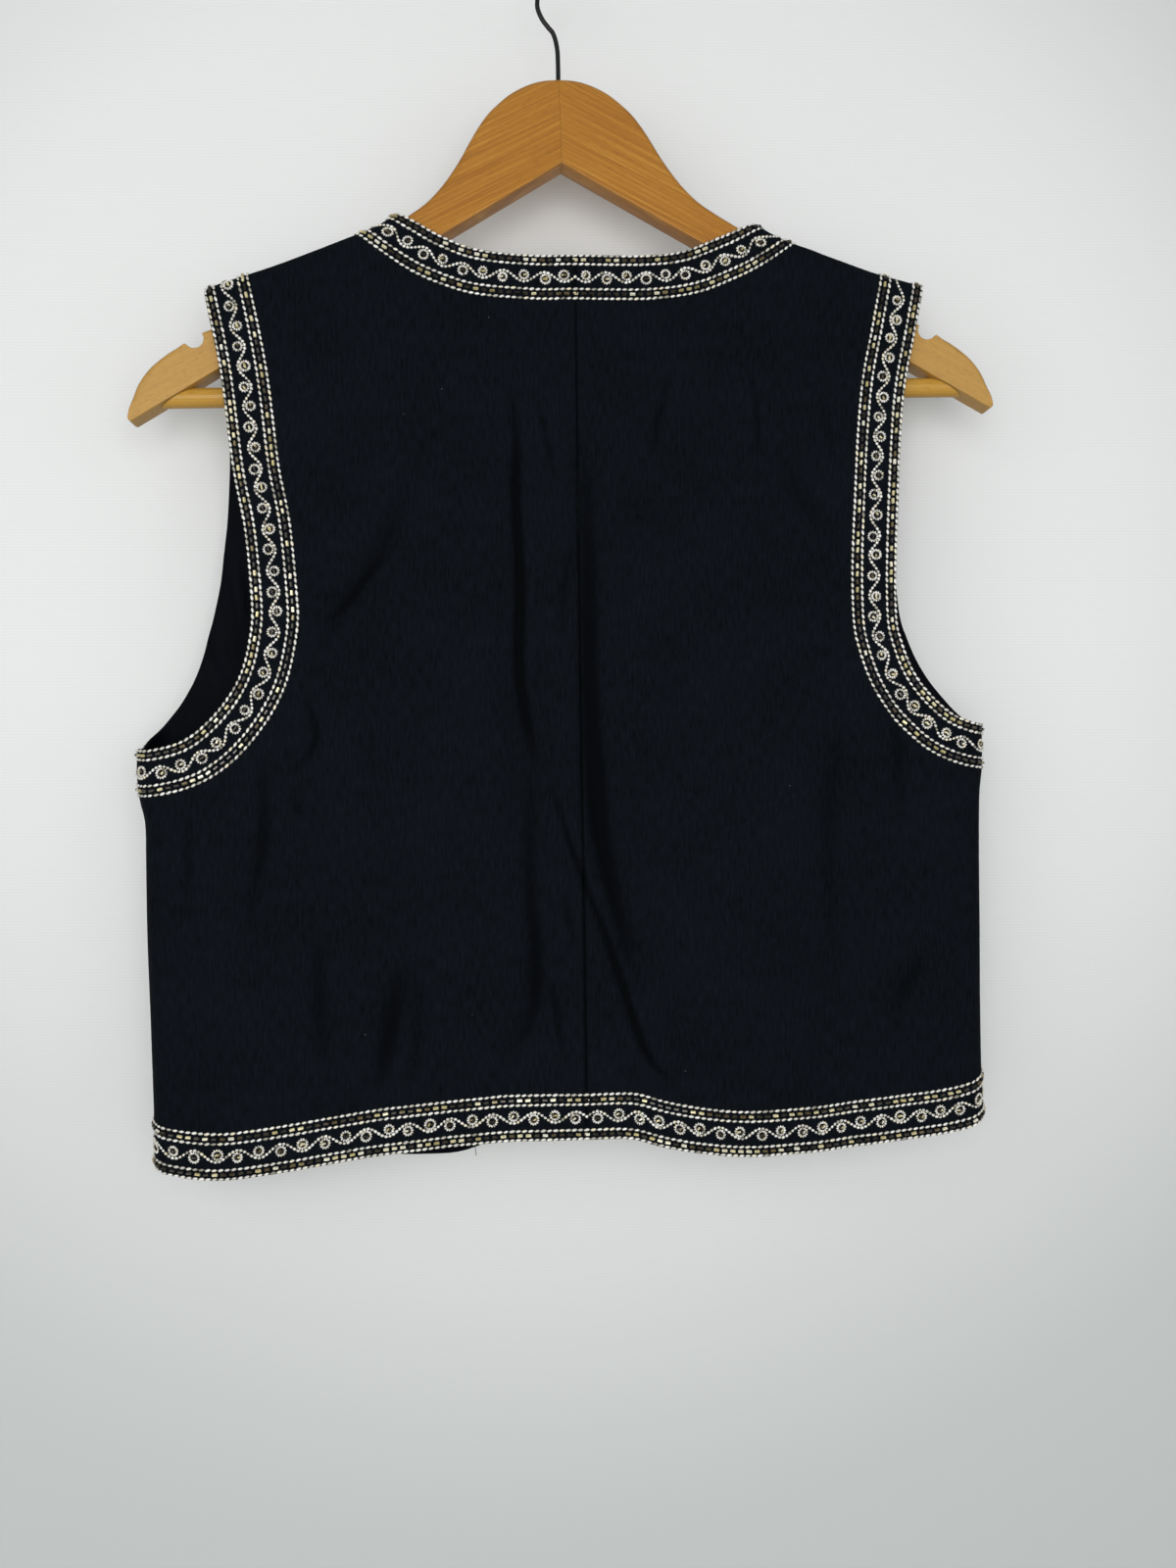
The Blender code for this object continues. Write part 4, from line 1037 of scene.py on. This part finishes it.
looseThread = {  # a sewing-thread end, below the front hem: radius, and its places
    "radius": 0.16 * mm,
    "places": ((-0.0550, 0.0195, -0.6085), (-0.0540, 0.0183, -0.6118), (-0.0537, 0.0175, -0.6150)),
    "sides": 3,
}


def bentTube(name, places, radius, sides, finish):  # a round wire or thread, closed at its ends
    curve = bpy.data.curves.new(name, "CURVE")
    curve.dimensions = "3D"
    curve.bevel_depth = radius
    curve.bevel_resolution = sides
    curve.use_fill_caps = True
    spline = curve.splines.new("POLY")
    spline.points.add(len(places) - 1)
    for point, place in zip(spline.points, places):
        point.co = (*place, 1)
    bent = bpy.data.objects.new(name, curve)
    bpy.context.scene.collection.objects.link(bent)
    graph = bpy.context.evaluated_depsgraph_get()
    mesh = bpy.data.meshes.new_from_object(bent.evaluated_get(graph), depsgraph=graph)
    bpy.data.objects.remove(bent)
    shaped = bmesh.new()
    shaped.from_mesh(mesh)
    bmesh.ops.remove_doubles(shaped, verts=shaped.verts, dist=0.01 * mm)
    bmesh.ops.recalc_face_normals(shaped, faces=shaped.faces)
    shaped.to_mesh(mesh)
    shaped.free()
    mesh.shade_smooth()
    mesh.set_sharp_from_angle(angle=math.radians(50))
    mesh.materials.clear()
    return addPiece(name, mesh, finish)


threadEnd = bentTube("looseThread", smoothLine(looseThread["places"], 4), looseThread["radius"],
                     looseThread["sides"], cloth)
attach(threadEnd, "root")

# Clear-lacquered beech, planed and sanded: warm orange-tan, fine pores along each arm, a soft gloss
woodFinish = {
    "grain": {"left": math.radians(27), "right": math.radians(-27)},
    "ringSpacing": 1.3 * mm,
    "poreWide": 0.35 * mm,
    "poreLong": 4 * mm,
    "sapwood": (110 * mm, 190 * mm),  # out from the middle, where it starts and where it is whole
    "pale": "C28B34",
    "mid": "AB7120",
    "deep": "935A17",
    "pore": "6F481A",
    "sap": "C6A057",
}


def makeWood(name, turn, offset, finish, roughness):
    made, tree, shader = startMaterial(name, roughness, Specular_IOR_Level=0.35, Coat_Weight=0.2,
                                       Coat_Roughness=0.2)
    place = addNode(tree, "ShaderNodeTexCoord")
    turned = addNode(tree, "ShaderNodeMapping", {
        "Vector": place.outputs["Object"], "Rotation": (0, turn, 0), "Location": (offset, 0, 0)})
    stretched = addNode(tree, "ShaderNodeMapping", {
        "Vector": turned.outputs[0], "Scale": (12, 160, 1 / finish["ringSpacing"])})
    rings = addNode(tree, "ShaderNodeTexNoise", {
        "Vector": stretched.outputs[0], "Scale": 1.0, "Detail": 5.0, "Roughness": 0.62, "Distortion": 0.3})
    heart = addNode(tree, "ShaderNodeValToRGB", {"Fac": rings.outputs["Fac"]},
                    ((0.28, finish["deep"]), (0.72, finish["pale"]), (0.5, finish["mid"])))
    out = addNode(tree, "ShaderNodeSeparateXYZ", {"Vector": place.outputs["Object"]})
    fromMiddle = addNode(tree, "ShaderNodeMath", {0: out.outputs["X"]}, operation="ABSOLUTE")
    toSap = addNode(tree, "ShaderNodeMapRange", {
        "Value": fromMiddle.outputs[0], "From Min": finish["sapwood"][0], "From Max": finish["sapwood"][1],
        "To Max": 0.6}, interpolation_type="SMOOTHSTEP")
    tone = addNode(tree, "ShaderNodeMix", {
        0: toSap.outputs[0], 6: heart.outputs[0], 7: linear(finish["sap"])}, data_type="RGBA")
    porePlace = addNode(tree, "ShaderNodeMapping", {
        "Vector": turned.outputs[0],
        "Scale": (1 / finish["poreLong"], 1 / finish["poreWide"], 1 / finish["poreWide"])})
    pores = addNode(tree, "ShaderNodeTexNoise", {
        "Vector": porePlace.outputs[0], "Scale": 1.0, "Detail": 2.0})
    poreMask = addNode(tree, "ShaderNodeMapRange", {
        "Value": pores.outputs["Fac"], "From Min": 0.55, "From Max": 0.72, "To Min": 0.0, "To Max": 0.45})
    colour = addNode(tree, "ShaderNodeMix", {
        0: poreMask.outputs[0], 6: tone.outputs[2], 7: linear(finish["pore"])}, data_type="RGBA")
    bump = addNode(tree, "ShaderNodeBump", {
        "Height": poreMask.outputs[0], "Strength": 0.15, "Distance": 0.2 * mm})
    tree.links.new(colour.outputs[2], shader.inputs["Base Color"])
    tree.links.new(bump.outputs[0], shader.inputs["Normal"])
    return made


arm = {
    "thickness": 12 * mm,
    "middle": -4 * mm,  # the hanger's own middle, right of the hook's
    "top": -0.0568,
    "roll": math.radians(1.35),  # it hangs with its right tip up
    "mitre": 0.05 * mm,  # from the glue line's middle
    "lowApex": -0.1004,
    "crown": ((0.0, -0.0568), (0.008, -0.0574), (0.0155, -0.0594), (0.024, -0.0635), (0.031, -0.0688),
              (0.038, -0.0757), (0.0448, -0.0855), (0.052, -0.0978), (0.0589, -0.1078), (0.0663, -0.1164),
              (0.0750, -0.1236), (0.0960, -0.1368)),
    "topEnd": (0.1843, -0.1856),
    "notch": (0.1883, -0.1882),
    "notchRadius": 4.8 * mm,
    "notchSteps": 14,
    "tip": ((0.1932, -0.1906), (0.2003, -0.1942), (0.2063, -0.1985), (0.2114, -0.2030), (0.2163, -0.2095),
            (0.2193, -0.2160), (0.2213, -0.2225), (0.2223, -0.2268), (0.2219, -0.2286), (0.2205, -0.2291)),
    "steps": 5,
    "round": 2.8 * mm,  # of the top edges
    "crispRound": 0.6 * mm,  # of the lower edges and the notch
    "roundGrowth": 0.4,  # of the edge's length away from those
    "besideNotch": (8 * mm, 5 * mm, 3 * mm, 1.5 * mm),
    "cornerPoints": 10,  # of the tip's lower corner
    "roundSteps": 4,
    "flatEdge": 0.25 * mm,
}


def armOutline(sizes):  # half the hanger from its mitre: (out, height), and how round its edge is there
    crown = smoothLine(sizes["crown"], sizes["steps"])
    crown[0, 0] = sizes["mitre"]
    topEnd = np.array(sizes["topEnd"])
    back = (crown[-1] - topEnd) / np.linalg.norm(crown[-1] - topEnd)
    beside = topEnd + back * np.array(sizes["besideNotch"])[:, None]
    heart = np.array(sizes["notch"])
    first, last = [math.atan2(*(np.array(p) - heart)[::-1]) for p in (sizes["topEnd"], sizes["tip"][0])]
    angles = first + (last + math.tau - first) * np.arange(1, sizes["notchSteps"]) / sizes["notchSteps"]
    notch = heart + sizes["notchRadius"] * np.stack([np.cos(angles), np.sin(angles)], axis=1)
    tip = smoothLine(sizes["tip"], 3)
    outline = np.vstack([crown, beside, [topEnd], notch, tip, [(sizes["mitre"], sizes["lowApex"])]])
    at = alongLine(outline)
    lips = at[len(crown) + len(beside)], at[-len(tip) - 1]
    corner = at[-sizes["cornerPoints"] - 1]
    fromNotch = np.maximum(np.maximum(lips[0] - at, at - lips[1]), 0)
    rounds = np.minimum(sizes["round"], sizes["crispRound"] + sizes["roundGrowth"] * np.minimum(
        fromNotch, np.maximum(corner - at, 0)))
    return outline, rounds[:, None]


def hangerArm(side, sizes, finish):  # rings of points from the front's flat, over its edge, to the back's
    outline, rounds = armOutline(sizes)
    ways = np.roll(outline, -1, axis=0) - outline
    ways /= np.linalg.norm(ways, axis=1)[:, None]
    inward = np.stack([ways[:, 1], -ways[:, 0]], axis=1)
    before = np.roll(inward, 1, axis=0)
    square = (before + inward) / np.maximum(1 + (before * inward).sum(axis=1), 0.6)[:, None]
    square[0] = np.array((0, -1)) / -inward[0, 1]
    square[-1] = np.array((0, 1)) / inward[-2, 1]
    half = sizes["thickness"] / 2
    turns = np.linspace(0, math.pi / 2, sizes["roundSteps"] + 1)
    rings = [(outline + square * rounds * (1 - math.cos(a)), half - rounds * (1 - math.sin(a)))
             for a in turns]
    rings.append((outline + square * (rounds + sizes["flatEdge"]), half + 0 * rounds))  # flat to its edge
    front = [np.hstack([flat[:, :1] * sideSign[side], -depth, flat[:, 1:]]) for flat, depth in rings]
    back = [ring * (1, -1, 1) for ring in front]
    allRings = front[::-1] + back
    turn = (Matrix.Translation((sizes["middle"], 0, sizes["top"])) @ Matrix.Rotation(-sizes["roll"], 4, "Y")
            @ Matrix.Translation((0, 0, -sizes["top"])))
    places = [turn @ Vector(place) for ring in allRings for place in ring]
    count = len(outline)
    faces = [tuple(range(count)), tuple(range(len(places) - 1, len(places) - 1 - count, -1))]
    for k in range(len(allRings) - 1):
        for j in range(count):
            a, b = k * count + j, k * count + (j + 1) % count
            faces.append((a, a + count, b + count, b))
    mesh = bpy.data.meshes.new(f"hangerArm{side.capitalize()}")
    mesh.from_pydata(places, [], faces)
    shaped = bmesh.new()
    shaped.from_mesh(mesh)
    bmesh.ops.recalc_face_normals(shaped, faces=shaped.faces)
    shaped.to_mesh(mesh)
    shaped.free()
    mesh.shade_smooth()
    mesh.set_sharp_from_angle(angle=math.radians(32))
    return addPiece(mesh.name, mesh, finish)


for side, offset in (("left", 0.31), ("right", 0.72)):
    finish = makeWood(
        f"lacquerBeech{side.capitalize()}", woodFinish["grain"][side], offset, woodFinish, 0.42)
    piece = hangerArm(side, arm, finish)
    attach(piece, "root")
    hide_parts(f"hanger_arm_{side}")

# Turned ramin dowel under a thick clear gloss: golden, with pin-fine dark pores
dowelFinish = {**woodFinish, "pale": "CFA148", "mid": "BF9038", "deep": "AA7B29", "pore": "8F6C2A",
               "sap": "BF9038"}
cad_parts["hanger_bar"].material_slots[0].material = makeWood(
    "glossRamin", arm["roll"], 0.11, dowelFinish, 0.22)


# Bright drawn steel wire gone dull: a dark grey metal with a fine lengthwise polish
def makeWire():
    made, tree, shader = startMaterial("drawnSteelWire", 0.30, 0.8)
    place = addNode(tree, "ShaderNodeTexCoord")
    scratch = addNode(tree, "ShaderNodeTexNoise", {
        "Vector": place.outputs["Object"], "Scale": 1 / (1.2 * mm), "Detail": 3.0})
    tone = addNode(tree, "ShaderNodeValToRGB", {"Fac": scratch.outputs["Fac"]},
                   ((0.3, "2A2A2B"), (0.7, "3C3C3D")))
    tree.links.new(tone.outputs[0], shader.inputs["Base Color"])
    return made


hook = {
    "wire": 1.2 * mm,  # radius
    "radius": 14.2 * mm,
    "angles": range(12, 181, 21),  # degrees, from the plain end over the top
    "bend": ((-0.0142, -0.0178), (-0.0120, -0.0232), (-0.0089, -0.0274), (-0.0062, -0.0309),
             (-0.0045, -0.0375)),
    "stem": ((-0.004, -0.046), (-0.004, -0.074)),
    "steps": 6,
}


def wireHook(sizes, finish):
    centre = sizes["wire"] - sizes["radius"]
    turns = [math.radians(a) for a in sizes["angles"]]
    arc = [(sizes["radius"] * math.cos(a), centre + sizes["radius"] * math.sin(a)) for a in turns]
    line = smoothLine([*arc, *sizes["bend"], *sizes["stem"]], sizes["steps"])
    return bentTube("wireHook", [(x, 0, z) for x, z in line], sizes["wire"], 5, finish)


wire = wireHook(hook, makeWire())
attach(wire, "root")
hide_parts("hook")
print("hanger finished")

studio = {
    "wallY": 1.05,  # behind every view's camera, so that it hides nothing
    "floorZ": -1.9,
    "cove": 0.7,
    "width": 12.0,
    "depth": 6.0,
    "top": 2.4,
    "wall": "F0F1F0",
    "shade": "ECEDEC",
    "nearY": 0.045,  # the wall that the hanger hangs on
    "nearHalf": 0.9,
    "nearMiddle": -0.35,
    "ribSpacing": 1.6 * mm,
    "paintedLightCentre": (0.0, 0.0, -0.26),  # the centre of the pool of light painted on the near wall
    "paintedLightReach": (0.30, 0.60),  # from there, where the painted fall-off starts and where it is at its darkest
    "paintedFallOffTone": "CED1D0",
}


# Matt paper backdrop, swept down to the floor: pale and plain, with the faintest mottle
def makePaper(sizes):
    made, tree, shader = startMaterial("mattBackdropPaper", 0.95, Specular_IOR_Level=0.1)
    place = addNode(tree, "ShaderNodeTexCoord")
    mottle = addNode(tree, "ShaderNodeTexNoise", {
        "Vector": place.outputs["Object"], "Scale": 3.0, "Detail": 3.0})
    tone = addNode(tree, "ShaderNodeValToRGB", {"Fac": mottle.outputs["Fac"]},
                   ((0.2, sizes["shade"]), (0.8, sizes["wall"])))
    tree.links.new(tone.outputs[0], shader.inputs["Base Color"])
    return made


# Painted wall with a fine level rib and a painted pool of light that darkens towards its edges; seen from
# its front only, so that no other view is shut off
def makeWall(sizes):
    made, tree, shader = startMaterial("ribbedWallPaint", 0.9, Specular_IOR_Level=0.1)
    place = addNode(tree, "ShaderNodeTexCoord")
    ribs = addNode(tree, "ShaderNodeTexWave", {
        "Vector": place.outputs["Object"], "Scale": 1 / sizes["ribSpacing"] / math.tau * 2,
        "Distortion": 1.0},
        bands_direction="Z")
    tone = addNode(tree, "ShaderNodeValToRGB", {"Fac": ribs.outputs["Fac"]},
                   ((0.0, sizes["shade"]), (1.0, sizes["wall"])))
    # painted light: the colour darkens away from a bright middle, in place of the lamps' fall-off
    away = addNode(tree, "ShaderNodeVectorMath", {
        0: place.outputs["Object"], 1: sizes["paintedLightCentre"]}, operation="DISTANCE")
    paintedFallOff = addNode(tree, "ShaderNodeMapRange", {
        "Value": away.outputs["Value"], "From Min": sizes["paintedLightReach"][0], "From Max": sizes["paintedLightReach"][1]},
        interpolation_type="SMOOTHSTEP")
    paintedFallOffColour = addNode(tree, "ShaderNodeMix", {
        0: paintedFallOff.outputs[0], 6: tone.outputs[0], 7: linear(sizes["paintedFallOffTone"])}, data_type="RGBA")
    behind = addNode(tree, "ShaderNodeNewGeometry")
    clear = addNode(tree, "ShaderNodeBsdfTransparent")
    both = addNode(tree, "ShaderNodeMixShader", {
        0: behind.outputs["Backfacing"], 1: shader.outputs[0], 2: clear.outputs[0]})
    tree.links.new(paintedFallOffColour.outputs[2], shader.inputs["Base Color"])
    tree.links.new(both.outputs[0], tree.nodes["Material Output"].inputs["Surface"])
    return made


def nearWall(sizes, finish):
    half = sizes["nearHalf"]
    mesh = bpy.data.meshes.new("nearWall")
    mesh.from_pydata([(x, sizes["nearY"], sizes["nearMiddle"] + z) for x, z in
                      ((-half, -half), (half, -half), (half, half), (-half, half))], [], [(0, 1, 2, 3)])
    wall = addPiece("nearWall", mesh, finish)
    wall.visible_diffuse = False
    wall.visible_glossy = False
    wall.visible_transmission = False
    wall.visible_shadow = False
    return wall


def sweep(sizes, finish):
    profile = [(-sizes["depth"], sizes["floorZ"])]
    for k in range(17):
        angle = math.pi / 2 * k / 16
        profile.append((sizes["wallY"] - sizes["cove"] + sizes["cove"] * math.sin(angle),
                        sizes["floorZ"] + sizes["cove"] - sizes["cove"] * math.cos(angle)))
    profile.append((sizes["wallY"], sizes["top"]))
    places = [(x, y, z) for y, z in profile for x in (-sizes["width"] / 2, sizes["width"] / 2)]
    faces = [(2 * k, 2 * k + 1, 2 * k + 3, 2 * k + 2) for k in range(len(profile) - 1)]
    mesh = bpy.data.meshes.new("backdrop")
    mesh.from_pydata(places, [], faces)
    mesh.shade_smooth()
    return addPiece("backdrop", mesh, finish)


sweep(studio, makePaper(studio))
nearWall(studio, makeWall(studio))

lamps = {  # place, where it points, size, watts, colour
    "softboxLeft": ((-0.75, -1.2, -0.30), (0, 0, -0.38), 1.6, 6.2, "FFFFFF"),
    "softboxRight": ((0.85, -1.2, -0.35), (0, 0, -0.38), 1.5, 3.6, "FDFEFF"),
    "cameraLight": ((-0.03, -1.1, -0.40), (0, 0, -0.36), 0.8, 5.2, "FFFFFF"),
    "topLight": ((0.0, -0.9, 1.5), (0, 0.1, -0.3), 1.2, 1.2, "FFFFFF"),
    "frontFill": ((0.4, 1.6, 1.6), (0, 0, -0.4), 1.4, 48, "FFFFFF"),
}


def addLamp(name, place, aim, size, watts, code):
    light = bpy.data.lights.new(name, "AREA")
    light.shape = "DISK"
    light.size = size
    light.energy = watts
    light.color = linear(code)[:3]
    lamp = bpy.data.objects.new(name, light)
    way = np.array(aim) - np.array(place)
    lamp.rotation_mode = "QUATERNION"
    lamp.rotation_quaternion = Vector(way).to_track_quat("-Z", "Y")
    lamp.location = place
    lamp.visible_camera = False
    bpy.context.scene.collection.objects.link(lamp)


for name, (place, aim, size, watts, code) in lamps.items():
    addLamp(name, place, aim, size, watts, code)
world = bpy.data.worlds.new("paleRoom")
bpy.context.scene.world = world
world.use_nodes = True
world.node_tree.nodes["Background"].inputs["Color"].default_value = linear("F0F2F2")
world.node_tree.nodes["Background"].inputs["Strength"].default_value = 0.36

camera = {
    "place": (-0.03238, -0.60918, -0.419),
    "yaw": math.radians(3.7),
    "roll": math.radians(0.7),
    "lens": 27.05,  # on a 36 mm sensor, along the picture's long side
}


def addCamera(sizes):
    forward = np.array((math.sin(sizes["yaw"]), math.cos(sizes["yaw"]), 0))
    right = np.array((math.cos(sizes["yaw"]), -math.sin(sizes["yaw"]), 0))
    up = np.array((0, 0, 1))
    turnedRight = math.cos(sizes["roll"]) * right - math.sin(sizes["roll"]) * up
    turnedUp = math.sin(sizes["roll"]) * right + math.cos(sizes["roll"]) * up
    lens = bpy.data.cameras.new("camera")
    lens.sensor_width = 36
    lens.lens = sizes["lens"]
    made = bpy.data.objects.new("camera", lens)
    made.matrix_world = Matrix.Translation(sizes["place"]) @ Matrix(
        np.stack([turnedRight, turnedUp, -forward], axis=1).tolist()).to_4x4()
    bpy.context.scene.collection.objects.link(made)
    bpy.context.scene.camera = made


addCamera(camera)
bpy.context.scene.view_settings.view_transform = "Standard"
print("camera and light set")
